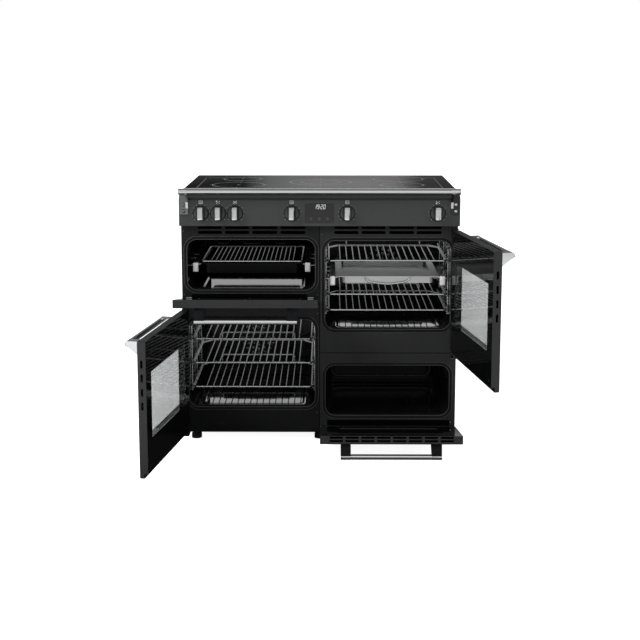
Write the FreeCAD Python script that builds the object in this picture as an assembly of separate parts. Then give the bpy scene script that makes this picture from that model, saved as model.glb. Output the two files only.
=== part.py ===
import FreeCAD, Part
import math
import os

V = FreeCAD.Vector

# Free-standing electric range cooker, 1000 mm class, four compartments.
# Millimetres. +X to the cook's right, +Y towards the wall, +Z up.
# X = 0 is the middle of the cooker, Z = 0 is the floor. The geometry is laid
# out from the plane of the chassis front; depth_shift then moves everything
# so that Y = 0 is the middle of the whole depth with the doors open.

# ---------------------------------------------------------------- dimensions
width = 1000.0                 # over the fascia
body_half = 496.5              # half width of the sheet-metal body
body_bottom = 43.0
panel_bottom = 35.0
body_top = 912.0
body_back = 555.0
fascia_front = -27.0
fascia_bottom = 804.0
knob_z = 850.0
knob_x = [-421.7, -360.0, -300.0, -98.5, 98.8, 420.0]
hob_top = 931.0
hob_front, hob_back = 30.0, 546.0
hob_half = 490.0
rail_y, rail_z, rail_r = -58.0, 930.0, 9.0
sheet = 2.0
liner_wall = 1.5
cavity_depth = 440.0
corner_r = 36.0

# oven openings: x0, x1, z0, z1
GRILL = (-476.0, -16.0, 567.0, 751.0)
LEFT = (-476.0, -16.0, 132.0, 459.0)
RIGHT = (20.0, 473.0, 423.0, 747.0)
SLOW = (22.0, 473.0, 100.0, 288.0)

# doors, closed: x0, x1, z0, z1
door_front, door_inner = -32.0, -3.0
pivot_y = -16.0
DOOR_GRILL = (-497.0, -3.0, 511.0, 786.0)
DOOR_SLOW = (3.0, 497.0, 34.0, 309.0)
DOOR_RIGHT = (3.0, 497.0, 325.0, 787.0)
DOOR_LEFT = (-497.0, -3.0, 32.0, 494.0)
pivot_x = 488.0
pivot_rise = 15.0              # drop-door pivot above the door's lower edge
side_open = 99.6               # degrees, opened as far as the stop
drop_open = 79.8
win_w, win_h, win_up, win_r = 385.0, 223.0, 126.5, 4.0

shelf_front, shelf_back = 40.0, 404.0
SHELF_RIGHT_Z = [668.0, 544.0, 485.5]
SHELF_LEFT_Z = [377.0, 287.0, 196.0]
PAN_RIGHT_Z = 612.0
PAN_GRILL_Z = 661.0
FAN = {"right": (246.5, 590.0), "left": (-246.0, 292.0)}

depth_shift = -46.0

os.makedirs("parts", exist_ok=True)


# ------------------------------------------------------------------- helpers
def box(x0, x1, y0, y1, z0, z1):
    return Part.makeBox(x1 - x0, y1 - y0, z1 - z0, V(x0, y0, z0))


def cyl(x, y, z, r, h, d=(0, 0, 1)):
    return Part.makeCylinder(r, h, V(x, y, z), V(*d))


def rface(a0, a1, b0, b1, r, at):
    """Rounded rectangle; at(a, b) gives the point in space."""
    r = min(r, (a1 - a0) / 2 - 0.01, (b1 - b0) / 2 - 0.01)
    if r <= 0.01:
        pts = [at(a0, b0), at(a1, b0), at(a1, b1), at(a0, b1)]
        return Part.Face(Part.makePolygon(pts + [pts[0]]))
    k = r * (1 - math.sqrt(0.5))
    e = [
        Part.LineSegment(at(a0 + r, b0), at(a1 - r, b0)).toShape(),
        Part.Arc(at(a1 - r, b0), at(a1 - k, b0 + k), at(a1, b0 + r)).toShape(),
        Part.LineSegment(at(a1, b0 + r), at(a1, b1 - r)).toShape(),
        Part.Arc(at(a1, b1 - r), at(a1 - k, b1 - k), at(a1 - r, b1)).toShape(),
        Part.LineSegment(at(a1 - r, b1), at(a0 + r, b1)).toShape(),
        Part.Arc(at(a0 + r, b1), at(a0 + k, b1 - k), at(a0, b1 - r)).toShape(),
        Part.LineSegment(at(a0, b1 - r), at(a0, b0 + r)).toShape(),
        Part.Arc(at(a0, b0 + r), at(a0 + k, b0 + k), at(a0 + r, b0)).toShape(),
    ]
    return Part.Face(Part.Wire(e))


def rbox_y(x0, x1, z0, z1, r, y0, y1):
    """Rounded rectangle in X-Z, extruded in Y."""
    return rface(x0, x1, z0, z1, r, lambda a, b: V(a, y0, b)).extrude(V(0, y1 - y0, 0))


def rbox_z(x0, x1, y0, y1, r, z0, z1):
    return rface(x0, x1, y0, y1, r, lambda a, b: V(a, b, z0)).extrude(V(0, 0, z1 - z0))


def rbox_x(y0, y1, z0, z1, r, x0, x1):
    return rface(y0, y1, z0, z1, r, lambda a, b: V(x0, a, b)).extrude(V(x1 - x0, 0, 0))


def prism_x(pts, x0, x1):
    """Polygon of (y, z) points extruded along X."""
    p = [V(x0, y, z) for y, z in pts]
    return Part.Face(Part.makePolygon(p + [p[0]])).extrude(V(x1 - x0, 0, 0))


def prism_y(pts, y0, y1):
    """Polygon of (x, z) points extruded along Y."""
    p = [V(x, y0, z) for x, z in pts]
    return Part.Face(Part.makePolygon(p + [p[0]])).extrude(V(0, y1 - y0, 0))


def rod(pts, r, bend):
    """Round bar swept along a polyline with rounded corners."""
    pts = [V(*p) for p in pts]
    edges, start = [], pts[0]
    for i in range(1, len(pts) - 1):
        a = (pts[i - 1] - pts[i]).normalize()
        b = (pts[i + 1] - pts[i]).normalize()
        ang = math.acos(max(-1, min(1, a.dot(b))))
        t = bend / math.tan(ang / 2)
        p1, p2 = pts[i] + a * t, pts[i] + b * t
        mid = (a + b).normalize()
        c = pts[i] + mid * (bend / math.sin(ang / 2))
        pm = c - mid * bend
        if (p1 - start).Length > 1e-6:
            edges.append(Part.LineSegment(start, p1).toShape())
        edges.append(Part.Arc(p1, pm, p2).toShape())
        start = p2
    edges.append(Part.LineSegment(start, pts[-1]).toShape())
    d = (pts[1] - pts[0]).normalize()
    prof = Part.Wire([Part.Circle(pts[0], d, r).toShape()])
    return Part.Wire(edges).makePipeShell([prof], True, False)


def fuse(shapes):
    out = shapes[0]
    if len(shapes) > 1:
        out = out.multiFuse(shapes[1:])
    return out


def cut(a, shapes):
    return a.cut(shapes if isinstance(shapes, list) else [shapes])


NODES = {}


def add(name, shapes):
    """Keep a node: one solid or a list of separate solids."""
    shapes = shapes if isinstance(shapes, list) else [shapes]
    solids = []
    for s in shapes:
        solids += s.Solids
    NODES[name] = solids


def turned(shapes, point, axis, angle):
    out = []
    for s in shapes if isinstance(shapes, list) else [shapes]:
        s = s.copy()
        s.rotate(V(*point), V(*axis), angle)
        out.append(s)
    return out


# ------------------------------------------------------------------- chassis
def side_panel(sign):
    a, b = sorted((sign * (body_half - sheet), sign * body_half))
    c, d = sorted((sign * (body_half - sheet - 15.0), sign * (body_half - sheet)))
    e0, e1 = min(a, c), max(b, d)
    g0, g1 = sorted((sign * 490.0, sign * body_half))
    body = [
        box(a, b, 2.3, body_back, body_bottom, body_top),
        box(g0, g1, 2.3, 4.3, body_bottom, body_top),
        box(e0, e1, body_back - 2.0, body_back, body_bottom, body_top),
        box(e0, e1, 2.3, body_back, body_bottom, body_bottom + 2.0),
        box(e0, e1, 2.3, body_back, body_top - 2.0, body_top),
    ]
    return fuse(body)


add("side_panel_left", side_panel(-1))
add("side_panel_right", side_panel(1))

base = box(-494.2, 494.2, 5.0, 552.5, 45.2, 47.2)
holes = [cyl(x, y, 45.0, 5.2, 3.0) for x in (-457, 0, 457) for y in (50, 505)]
add("base_panel", cut(base, holes))

feet = []
for x in (-457.0, 0.0, 457.0):
    for y in (50.0, 505.0):
        f = cyl(x, y, 0.0, 19.0, 16.0).fuse(cyl(x, y, 16.0, 12.0, 29.0))
        f = f.fuse(cyl(x, y, 45.0, 5.0, 9.0))
        feet.append(f)
add("feet", feet)

back = rbox_y(-body_half, body_half, body_bottom, body_top, 0, body_back + 0.2, body_back + 2.0)
vents = []
for cx in (-300.0, 0.0, 300.0):
    for i in range(7):
        vents.append(rbox_y(cx - 70, cx + 70, 640 + 26 * i, 648 + 26 * i, 3.9,
                            body_back - 1, body_back + 3))
bolts = [cyl(x, body_back - 1, 90.0, 3.5, 5.0, (0, 1, 0)) for x in (-150.0, 150.0)]
feed = [cyl(380.0, body_back - 1, 150.0, 14.0, 5.0, (0, 1, 0))]
add("back_panel", cut(back, vents + bolts + feed))

# connection box on the back, cable entry through its underside
tb = box(330, 430, body_back + 2.2, body_back + 32.4, 92, 190)
tb = cut(tb, box(333, 427, body_back, body_back + 29.4, 100, 187))
tb = fuse([tb] + [cyl(x, body_back + 31.0, z, 3.4, 3.0, (0, 1, 0))
                  for x in (338.0, 422.0) for z in (106.0, 182.0)])
tb = cut(tb, cyl(380, body_back + 17, 90, 10.0, 12.0))
add("terminal_box", tb)


def opening_cut(o, y0, y1):
    return rbox_y(o[0], o[1], o[2], o[3], corner_r, y0, y1)


def slots(xs, y0, y1):
    out = []
    for a, b in xs:
        out.append(rbox_y(a, b, 790.0, 799.0, 4.4, y0, y1))
        out.append(rbox_y(a, b, 771.5, 782.0, 5.2, y0, y1))
    return out


left_slots = [(-436, -350), (-339, -252), (-241, -151), (-140, -51)]
right_slots = [(53, 140), (151, 237), (250, 339), (348, 438)]

fl = fuse([
    box(-body_half, -1.0, 0, sheet, panel_bottom, 803.5),
    box(-3.0, -1.0, 0, 22.0, 48.0, 803.5),
    box(-479.0, -3.0, 0, 22.0, 801.5, 803.5),
])
add("front_panel_left", cut(fl, [opening_cut(GRILL, -1, 3), opening_cut(LEFT, -1, 3)]
                            + slots(left_slots, -1, 3)))
fu = fuse([
    box(1.0, body_half, 0, sheet, 335.0, 803.5),
    box(1.0, 3.0, 0, 22.0, 335.0, 803.5),
    box(3.0, 479.0, 0, 22.0, 801.5, 803.5),
    box(3.0, 479.0, 0, 22.0, 335.0, 337.0),
])
add("front_panel_right_upper", cut(fu, [opening_cut(RIGHT, -1, 3)] + slots(right_slots, -1, 3)))
fw = fuse([
    box(1.0, body_half, 0, sheet, body_bottom, 333.0),
    box(1.0, 3.0, 0, 22.0, 48.0, 333.0),
    box(3.0, 479.0, 0, 22.0, 331.0, 333.0),
])
add("front_panel_right_lower", cut(fw, [opening_cut(SLOW, -1, 3)]))


# ------------------------------------------------------- enamelled oven liners
def liner(o, disc, panel, shaft):
    x0, x1, z0, z1 = o
    w = liner_wall
    cx = (x0 + x1) / 2
    outer = [
        rbox_y(x0 - w, x1 + w, z0 - w, z1 + w, corner_r + w, 2.2, cavity_depth + w),
        rbox_y(x0 - 13, x1 + 13, z0 - 13, z1 + 10, corner_r + 12, 2.2, 3.7),
    ]
    inner = [rbox_y(x0, x1, z0, z1, corner_r, 0, cavity_depth)]
    if disc:                                    # round dished pressing in the floor
        up = V(0, 0, 1)
        outer.append(Part.makeCone(130.0 + w, 139.0 + w, 8.0, V(cx, disc, z0 - 8.0 - w), up))
        inner.append(Part.makeCone(130.0, 139.0, 8.0, V(cx, disc, z0 - 8.0), up).fuse(
            cyl(cx, disc, z0, 139.0, 4.0)))
    if panel:                                   # pressed field in the rear wall
        outer.append(rbox_y(x0 + 26 - w, x1 - 34 + w, z0 + 37 - w, z1 - 30 + w, 26 + w,
                            cavity_depth - 2, cavity_depth + 4 + w))
        inner.append(rbox_y(x0 + 26, x1 - 34, z0 + 37, z1 - 30, 26,
                            cavity_depth - 10, cavity_depth + 4))
    s = cut(fuse(outer), inner)
    if shaft:
        s = cut(s, cyl(shaft[0], cavity_depth - 5, shaft[1], 6.0, 15.0, (0, 1, 0)))
    return s


add("liner_grill", liner(GRILL, 196.0, False, None))
add("liner_left", liner(LEFT, 196.0, False, FAN["left"]))
add("liner_right", liner(RIGHT, 196.0, False, FAN["right"]))
add("liner_slow", liner(SLOW, 196.0, True, None))

seals = []
for o in (GRILL, LEFT, RIGHT, SLOW):
    a = rbox_y(o[0] - 7, o[1] + 7, o[2] - 8, o[3] + 11, corner_r + 7, -2.3, 0.0)
    b = rbox_y(o[0] - 1, o[1] + 1, o[2] - 1, o[3] + 3, corner_r + 1, -3.0, 1.0)
    seals.append(cut(a, b))
add("door_seals", seals)

# ------------------------------------------------------------ control fascia
outer = prism_x([(-0.3, fascia_bottom), (-27, fascia_bottom), (-27, 896), (-24, 903),
                 (-13, 912), (-0.3, 913.5)], -500, 500)
inner = prism_x([(1, 806), (-25, 806), (-25, 895.4), (-22.4, 901.2), (-12.4, 909.6),
                 (1, 911.3)], -498, 498)
fascia = cut(outer, inner)
fascia = cut(fascia, [rbox_y(-51.0, 51.0, 815.5, 884.5, 4, -30, -20)]
             + [cyl(x, -30, knob_z, 4.5, 10, (0, 1, 0)) for x in knob_x]
             + [box(s - 0.6, s + 0.6, -28, -26.2, 800, 920) for s in (-469.0, 469.0)])
add("control_fascia", fascia)
add("clock_window", rbox_y(-50.6, 50.6, 815.9, 884.1, 3.6, -27.8, -24.9).fuse(
    rbox_y(-57, 57, 810, 890, 4, -24.9, -19.0)))

switches = []
for x in knob_x:
    s = rbox_y(x - 20, x + 20, knob_z - 20, knob_z + 20, 4, -24.8, -2.0)
    switches.append(s.fuse(cyl(x, -24.8, knob_z, 3.0, 29.2, (0, -1, 0))))
add("control_switches", switches)

for i, x in enumerate(knob_x):
    skirt = cyl(x, -28.0, knob_z, 28.5, 3.6, (0, -1, 0))
    cone = Part.makeCone(28.5, 26.5, 2.4, V(x, -31.6, knob_z), V(0, -1, 0))
    grip = rbox_y(x - 15.5, x + 15.5, knob_z - 24, knob_z + 25, 9, -56.0, -34.0)
    taper = prism_x([(-34, knob_z - 26), (-34, knob_z + 26), (-57, knob_z + 23.5),
                     (-57, knob_z - 22.5)], x - 30, x + 30)
    face = rbox_y(x - 10.5, x + 10.5, knob_z - 22.5, knob_z + 23.5, 5, -61.0, -55.5)
    k = fuse([skirt, cone, grip.common(taper), face])
    k = cut(k, cyl(x, -27.0, knob_z, 3.05, 28.0, (0, -1, 0)))
    add("knob_%d" % (i + 1), k)

# ------------------------------------------------------------- rail over it
add("front_rail", cyl(-497.0, rail_y, rail_z, rail_r, 994.0, (1, 0, 0)))
brackets, screws = [], []
for s in (-1, 1):
    a, b = sorted((s * 466.0, s * 497.0))
    fa, fb = sorted((s * 466.0, s * 474.5))
    fin = prism_x([(-30.0, 868), (-33.8, 868), (-40, 890), (-66.0, 922), (-68.4, 930),
                   (-58, 940.3), (-46, 936), (-30.0, 912)], fa, fb)
    plate = rbox_y(a, b, 846, 914, 3, -33.2, -27.2)
    br = fuse([fin, plate, cyl(a, rail_y, rail_z, 10.8, b - a, (1, 0, 0))])
    br = cut(br, cyl(a - 1, rail_y, rail_z, rail_r + 0.1, b - a + 2, (1, 0, 0)))
    for z in (857.5, 881.5):
        br = cut(br, cyl(s * 483.0, -26, z, 2.7, 10, (0, -1, 0)))
        head = Part.makeSphere(7.2, V(s * 483.0, -30.4, z)).common(
            box(s * 483.0 - 9, s * 483.0 + 9, -39, -33.2, z - 9, z + 9))
        head = head.fuse(cyl(s * 483.0, -33.2, z, 2.5, 5.4, (0, 1, 0)))
        screws.append(head)
    brackets.append(br)
add("rail_brackets", brackets)
add("bracket_screws", screws)

# ----------------------------------------------------------------------- hob
tray = cut(box(-492, 492, 0.5, 553, 912.2, 925.6),
           box(-490.5, 490.5, 2.0, 551.5, 913.7, 930))
tray = tray.fuse(box(-492, 492, 0.5, 34, 924.1, 925.6))
tray = tray.fuse(box(-492, 492, 540, 553, 924.1, 925.6))
add("hob_tray", tray)
glass = rbox_z(-hob_half, hob_half, hob_front, hob_back, 8, 925.8, hob_top)
top_edges = [e for e in glass.Edges if e.BoundBox.ZMin > hob_top - 0.01]
glass = glass.makeChamfer(1.5, top_edges)
add("hob_glass", glass)
zones = [(-301, 170, 97), (-301, 410, 72), (3, 288, 118), (305, 170, 80), (303, 410, 98)]
add("hob_elements", [cyl(x, y, 914.0, r, 9.0) for x, y, r in zones])

# ------------------------------------------------------- hinges on the chassis
hinges = []
for sign, d in ((1, DOOR_RIGHT), (-1, DOOR_LEFT)):
    px = sign * pivot_x
    a, b = sorted((sign * 477.0, sign * 496.0))
    top = box(a, b, -26, 0, d[3] + 3.0, d[3] + 6.0).fuse(
        box(a, b, -3, 0, d[3] + 3.0, d[3] + 14.0))
    hinges.append(top.fuse(cyl(px, pivot_y, d[3] - 10.0, 4.0, 14.0)))
    if sign > 0:
        low = box(a, b, -26, 0, d[2] - 6.0, d[2] - 3.0).fuse(
            box(a, b, -3, 0, d[2] - 13.0, d[2] - 3.0))
    else:
        low = box(a, b, -26, 24, d[2] - 6.0, d[2] - 3.0).fuse(
            box(a, b, 4.5, 24, d[2] - 6.0, 43.0))
    hinges.append(low.fuse(cyl(px, pivot_y, d[2] - 4.0, 4.0, 14.0)))


def drop_lugs(d):
    out = []
    pz = d[2] + pivot_rise
    for x in (d[0] + 9.5, d[1] - 9.5):
        arm = box(x - 2.0, x + 2.0, pivot_y, 0, pz - 7, pz + 7).fuse(
            cyl(x - 2.0, pivot_y, pz, 7.0, 4.0, (1, 0, 0)))
        pin = cyl(x - 7.0, pivot_y, pz, 4.0, 14.0, (1, 0, 0))
        foot = box(x - 6.0, x + 6.0, -2.6, 0, pz + 1, pz + 13)
        out.append(fuse([arm, pin, foot]))
    return out


hinges += drop_lugs(DOOR_GRILL) + drop_lugs(DOOR_SLOW)
add("door_hinges", hinges)


# --------------------------------------------------------------------- doors
def handle(cx, zb, length):
    half = length / 2
    bar = cyl(cx - half + 2, -78.0, zb, 8.2, length - 4, (1, 0, 0))
    out = [bar]
    for a, b in ((cx - half, cx - half + 35), (cx + half - 35, cx + half)):
        br = prism_x([(door_front, zb + 9), (-78, zb + 9.6), (-78, zb - 9.6),
                      (door_front, zb - 46)], a, b)
        br = br.fuse(cyl(a, -78.0, zb, 10.0, b - a, (1, 0, 0)))
        out.append(cut(br, cyl(a - 1, -78.0, zb, 8.3, b - a + 2, (1, 0, 0))))
    return out


def side_door(sign, d):
    x0, x1, z0, z1 = d
    hinge_edge = x1 if sign > 0 else x0
    free_edge = x0 if sign > 0 else x1
    w = 1.5
    # inner box stops short of the hinge edge and of the lower edge
    i0, i1 = sorted((hinge_edge - sign * 9.0, free_edge))
    skin = rbox_y(x0, x1, z0, z1, 6, door_front, pivot_y)
    fr = [e for e in skin.Edges if e.BoundBox.YMax < door_front + 0.01]
    skin = skin.makeFillet(3.0, fr)
    deep = rbox_y(i0, i1, z0 + 15, z1, 4, pivot_y - 1, door_inner)
    hollow = [rbox_y(x0 + w, x1 - w, z0 + w, z1 - w, 5, door_front + w, pivot_y - w),
              rbox_y(i0 + w, i1 - w, z0 + 15 + w, z1 - w, 3, pivot_y - 3, door_inner + 1)]
    ap0, ap1 = sorted((sign * 57.0, sign * 442.0))
    wz0, wz1 = z0 + win_up, z0 + win_up + win_h
    shell = cut(skin.fuse(deep), hollow)
    cuts = [rbox_y(ap0, ap1, wz0, wz1, win_r, door_front - 1, pivot_y)]
    for zz in (246.0, 292.5, 339.0, 385.5):     # vents in the latch edge
        a, b = sorted((free_edge - sign * 3.0, free_edge + sign * 3.0))
        cuts.append(rbox_x(-21.5, -13.5, z0 + zz - 13.5, z0 + zz + 13.5, 3.9, a, b))
    px = sign * pivot_x
    cuts.append(cyl(px, pivot_y, z0 - 1, 4.06, 12.0))
    cuts.append(cyl(px, pivot_y, z1 - 11, 4.06, 12.0))
    shell = cut(shell, cuts)
    panel = rbox_y(i0 + w + 0.2, i1 - w - 0.2, z0 + 15 + w + 0.2, z1 - w - 0.2, 3,
                   door_inner - 1.6, door_inner)
    duct = rbox_y(ap0 - 3, ap1 + 3, wz0 - 3, wz1 + 3, win_r + 3, -26.2, door_inner)
    panel = panel.fuse(duct)
    panel = cut(panel, rbox_y(ap0, ap1, wz0, wz1, win_r, -30, 0))
    panes = [rbox_y(ap0 - 12, ap1 + 12, wz0 - 12, wz1 + 12, 8, -30.3, -26.4),
             rbox_y(ap0 + 0.3, ap1 - 0.3, wz0 + 0.3, wz1 - 0.3, win_r - 0.3, -9.0, -5.0)]
    hx = sign * (pivot_x - 248.0)
    return shell, panel, panes, handle(hx, z1 - 21, 388.0)


def drop_door(d, edge_slots):
    x0, x1, z0, z1 = d
    w = 1.5
    skin = rbox_y(x0, x1, z0, z1, 6, door_front, pivot_y)
    fr = [e for e in skin.Edges if e.BoundBox.YMax < door_front + 0.01]
    skin = skin.makeFillet(3.0, fr)
    deep = rbox_y(x0, x1, z0 + 13, z1, 4, pivot_y - 1, door_inner)
    hollow = [rbox_y(x0 + w, x1 - w, z0 + w, z1 - w, 5, door_front + w, pivot_y - w),
              rbox_y(x0 + w, x1 - w, z0 + 13 + w, z1 - w, 3, pivot_y - 3, door_inner + 1)]
    shell = cut(skin.fuse(deep), hollow)
    pz = z0 + pivot_rise
    blocks, cuts, keep = [], [], []
    for x in (x0 + 9.5, x1 - 9.5):
        bx = box(x - 8.5, x + 8.5, -31.0, -4.5, z0 + 13.2, z0 + 34.0).fuse(
            box(x - 8.5, x + 8.5, -31.0, pivot_y - 0.5, z0 + 1, z0 + 20.0))
        blocks.append(bx)
        cuts.append(box(x - 2.8, x + 2.8, -24.6, 2, z0 - 1, z0 + 24.0))
        cuts.append(cyl(x - 7.3, pivot_y, pz, 4.06, 14.6, (1, 0, 0)))
        keep.append(box(x - 9.2, x + 9.2, -5, 0, z0, z0 + 34.4))
    shell = fuse([shell] + blocks)
    shell = cut(shell, cuts)
    if edge_slots:
        vents = []
        for i in range(8):
            a = x0 + 33.0 + 54.6 * i
            for y in (-24.0, -12.6):
                vents.append(rbox_z(a, a + 47.0, y, y + 7.2, 3.4, z1 - 3, z1 + 1))
        shell = cut(shell, vents)
    panel = rbox_y(x0 + w + 0.2, x1 - w - 0.2, z0 + 13 + w + 0.2, z1 - w - 0.2, 3,
                   door_inner - 1.4, door_inner)
    field = rbox_y(x0 + 60, x1 - 60, z0 + 62, z1 - 52, 22, door_inner - 3.4, door_inner)
    panel = panel.fuse(field)
    panel = cut(panel, [rbox_y(x0 + 61.4, x1 - 61.4, z0 + 63.4, z1 - 53.4, 20.6,
                               door_inner - 2.0, 0)] + keep)
    return shell, panel, handle((x0 + x1) / 2, z1 - 21, 350.0)


for label, sign, d in (("right", 1, DOOR_RIGHT), ("left", -1, DOOR_LEFT)):
    sh, pn, gl, hd = side_door(sign, d)
    at, axis = (sign * pivot_x, pivot_y, 0), (0, 0, sign)
    add("door_%s_shell" % label, turned(sh, at, axis, side_open))
    add("door_%s_inner" % label, turned(pn, at, axis, side_open))
    add("door_%s_glass" % label, turned(gl, at, axis, side_open))
    add("door_%s_handle" % label, turned(hd, at, axis, side_open))
for label, d, sl in (("grill", DOOR_GRILL, False), ("slow", DOOR_SLOW, True)):
    sh, pn, hd = drop_door(d, sl)
    at, axis = (0, pivot_y, d[2] + pivot_rise), (1, 0, 0)
    add("door_%s_shell" % label, turned(sh, at, axis, drop_open))
    add("door_%s_inner" % label, turned(pn, at, axis, drop_open))
    add("door_%s_handle" % label, turned(hd, at, axis, drop_open))


# ----------------------------------------------------- shelves, racks and pans
def shelf(o, z):
    cx = (o[0] + o[1]) / 2
    half = (o[1] - o[0]) / 2 - 13.5             # axis of the frame wire
    a, b, f, r = cx - half, cx + half, shelf_front, shelf_back
    m = (f + r) / 2
    loop = [rod([(a, m, z), (a, f, z), (b, f, z), (b, m, z)], 3.0, 9.0),
            rod([(a, m, z), (a, r - 48, z), (a + 36, r, z), (b - 36, r, z),
                 (b, r - 48, z), (b, m, z)], 3.0, 14.0)]
    wires = [cyl(cx + 24.5 * (i - 7), f, z, 1.9, r - f, (0, 1, 0)) for i in range(15)]
    u0, u1 = cx - 144, cx + 144                 # upstand welded on the rear wire
    stop = rod([(u0, r, z + 3.02), (u0, r, z + 30), (u1, r, z + 30), (u1, r, z + 3.02)],
               2.4, 9.0)
    return [fuse(loop + wires), stop]


for i, z in enumerate(SHELF_RIGHT_Z):
    add("shelf_right_%d" % (i + 1), shelf(RIGHT, z))
for i, z in enumerate(SHELF_LEFT_Z):
    add("shelf_left_%d" % (i + 1), shelf(LEFT, z))


def ladder(wall, inward, levels, lo, hi):
    """Wire side rack: uprights near the wall, pairs of rungs under and over each shelf."""
    xw = wall + inward * 3.0
    xr = wall + inward * 11.2
    parts = [cyl(xw, y, lo, 2.2, hi - lo) for y in (75.0, 235.0, 395.0)]
    for z in levels:
        for dz in (-5.8, 6.6):
            parts.append(rod([(xw, 75, z + dz), (xw, 50, z + dz), (xr, 50, z + dz),
                              (xr, 412, z + dz), (xw, 412, z + dz), (xw, 395, z + dz)],
                             2.0, 3.9))
            parts.append(cyl(min(xw, xr), 235, z + dz, 1.8, abs(xr - xw), (1, 0, 0)))
    return fuse(parts)


racks = []
for o, levels in ((RIGHT, SHELF_RIGHT_Z), (LEFT, SHELF_LEFT_Z)):
    lo, hi = o[2] + 40, o[3] - 40
    racks.append(ladder(o[0], 1, levels, lo, hi))
    racks.append(ladder(o[1], -1, levels, lo, hi))
add("side_racks", racks)


def runner(wall, inward, z):
    """Side runner for a pan: channel with an inner ledge and a block at its front end."""
    a, b = sorted((wall + inward * 18.0, wall + inward * 36.0))
    body = box(a, b, 40, 400, z - 30, z - 1)
    hollow = box(a + 2, b - 2, 39, 401, z - 28, z - 3)
    body = cut(body, hollow)
    c, d = sorted((wall + inward * 36.0, wall + inward * 44.0))
    ledge = box(c, d, 40, 400, z - 7.0, z - 4.0)
    block = rbox_y(a, b, z - 31, z, 2.5, 22, 40)
    e, f = sorted((wall + inward * 0.2, wall + inward * 18.0))
    tabs = [box(e, f, y, y + 24, z - 22, z - 19) for y in (100.0, 260.0, 350.0)]
    return fuse([body, ledge, block] + tabs)


add("runner_guides", [runner(GRILL[0], 1, PAN_GRILL_Z), runner(GRILL[1], -1, PAN_GRILL_Z),
                      runner(RIGHT[0], 1, PAN_RIGHT_Z), runner(RIGHT[1], -1, PAN_RIGHT_Z)])


def pan(o, z, depth, front_flange):
    """Pressed pan whose rims run on the two ledges."""
    x0, x1 = o[0] + 38.0, o[1] - 38.0
    f, r = 34.0, 396.0
    rim = rbox_z(x0, x1, f, r, 8, z - 3.0, z)
    body = rbox_z(x0 + 22, x1 - 22, f + 2, r - 10, 16, z - depth, z)
    s = rim.fuse(body)
    well = rbox_z(x0 + 24, x1 - 24, f + front_flange, r - 12, 14, z - depth + 2, z + 1)
    s = cut(s, well)
    if front_flange > 40:
        s = cut(s, rbox_z(x0 + 24, x1 - 24, f + 4, f + front_flange - 2, 12,
                          z - depth - 1, z - 2))
    return s


p = pan(RIGHT, PAN_RIGHT_Z, 25.0, 122.0)
cx = (RIGHT[0] + RIGHT[1]) / 2
z = PAN_RIGHT_Z
bow = rod([(cx - 82, 38, z - 8), (cx - 82, 28.5, z - 8), (cx - 66, 28.5, z - 20),
           (cx, 28.5, z - 29), (cx + 66, 28.5, z - 20), (cx + 82, 28.5, z - 8),
           (cx + 82, 38, z - 8)], 2.6, 4.0)
grate_wires = [cyl(cx - 150, 166, z - 9, 2.0, 300, (1, 0, 0)),
               cyl(cx - 150, 370, z - 9, 2.0, 300, (1, 0, 0))]
add("pan_right", p.fuse(bow))
add("pan_grill", pan(GRILL, PAN_GRILL_Z, 38.0, 2.5))

gx0, gx1, gz = GRILL[0] + 48.0, GRILL[1] - 48.0, PAN_GRILL_Z + 3.6
gm = 215.0
grid = [rod([(gx0, gm, gz), (gx0, 44, gz), (gx1, 44, gz), (gx1, gm, gz)], 3.0, 9.0),
        rod([(gx0, gm, gz), (gx0, 384, gz), (gx1, 384, gz), (gx1, gm, gz)], 3.0, 9.0)]
gcx = (gx0 + gx1) / 2
grid += [cyl(gcx + 16.6 * (i - 9), 44, gz, 1.7, 340, (0, 1, 0)) for i in range(19)]
add("grid_grill", fuse(grid))

# grill element under the roof of the grill compartment
ez, e0, e1 = 727.0, 70.0, 350.0
pts = [(-380, 420, ez), (-380, e0, ez), (-330, e0, ez), (-330, e1, ez), (-280, e1, ez),
       (-280, e0, ez), (-212, e0, ez), (-212, e1, ez), (-162, e1, ez), (-162, e0, ez),
       (-112, e0, ez), (-112, 420, ez)]
elem = rod(pts, 3.3, 22.0)
mount = box(-392, -100, 420, 424, ez - 9, ez + 9)
stays = [box(-340, -150, 200, 206, ez + 3.0, ez + 6.0)]
stays += [box(x - 3, x + 3, 200, 206, ez + 3.0, 750.6) for x in (-300.0, -190.0)]
stubs = [box(x - 5, x + 5, 424, 439.8, ez - 6, ez + 6) for x in (-380.0, -112.0)]
add("grill_element", fuse([elem, mount] + stays + stubs))

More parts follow.
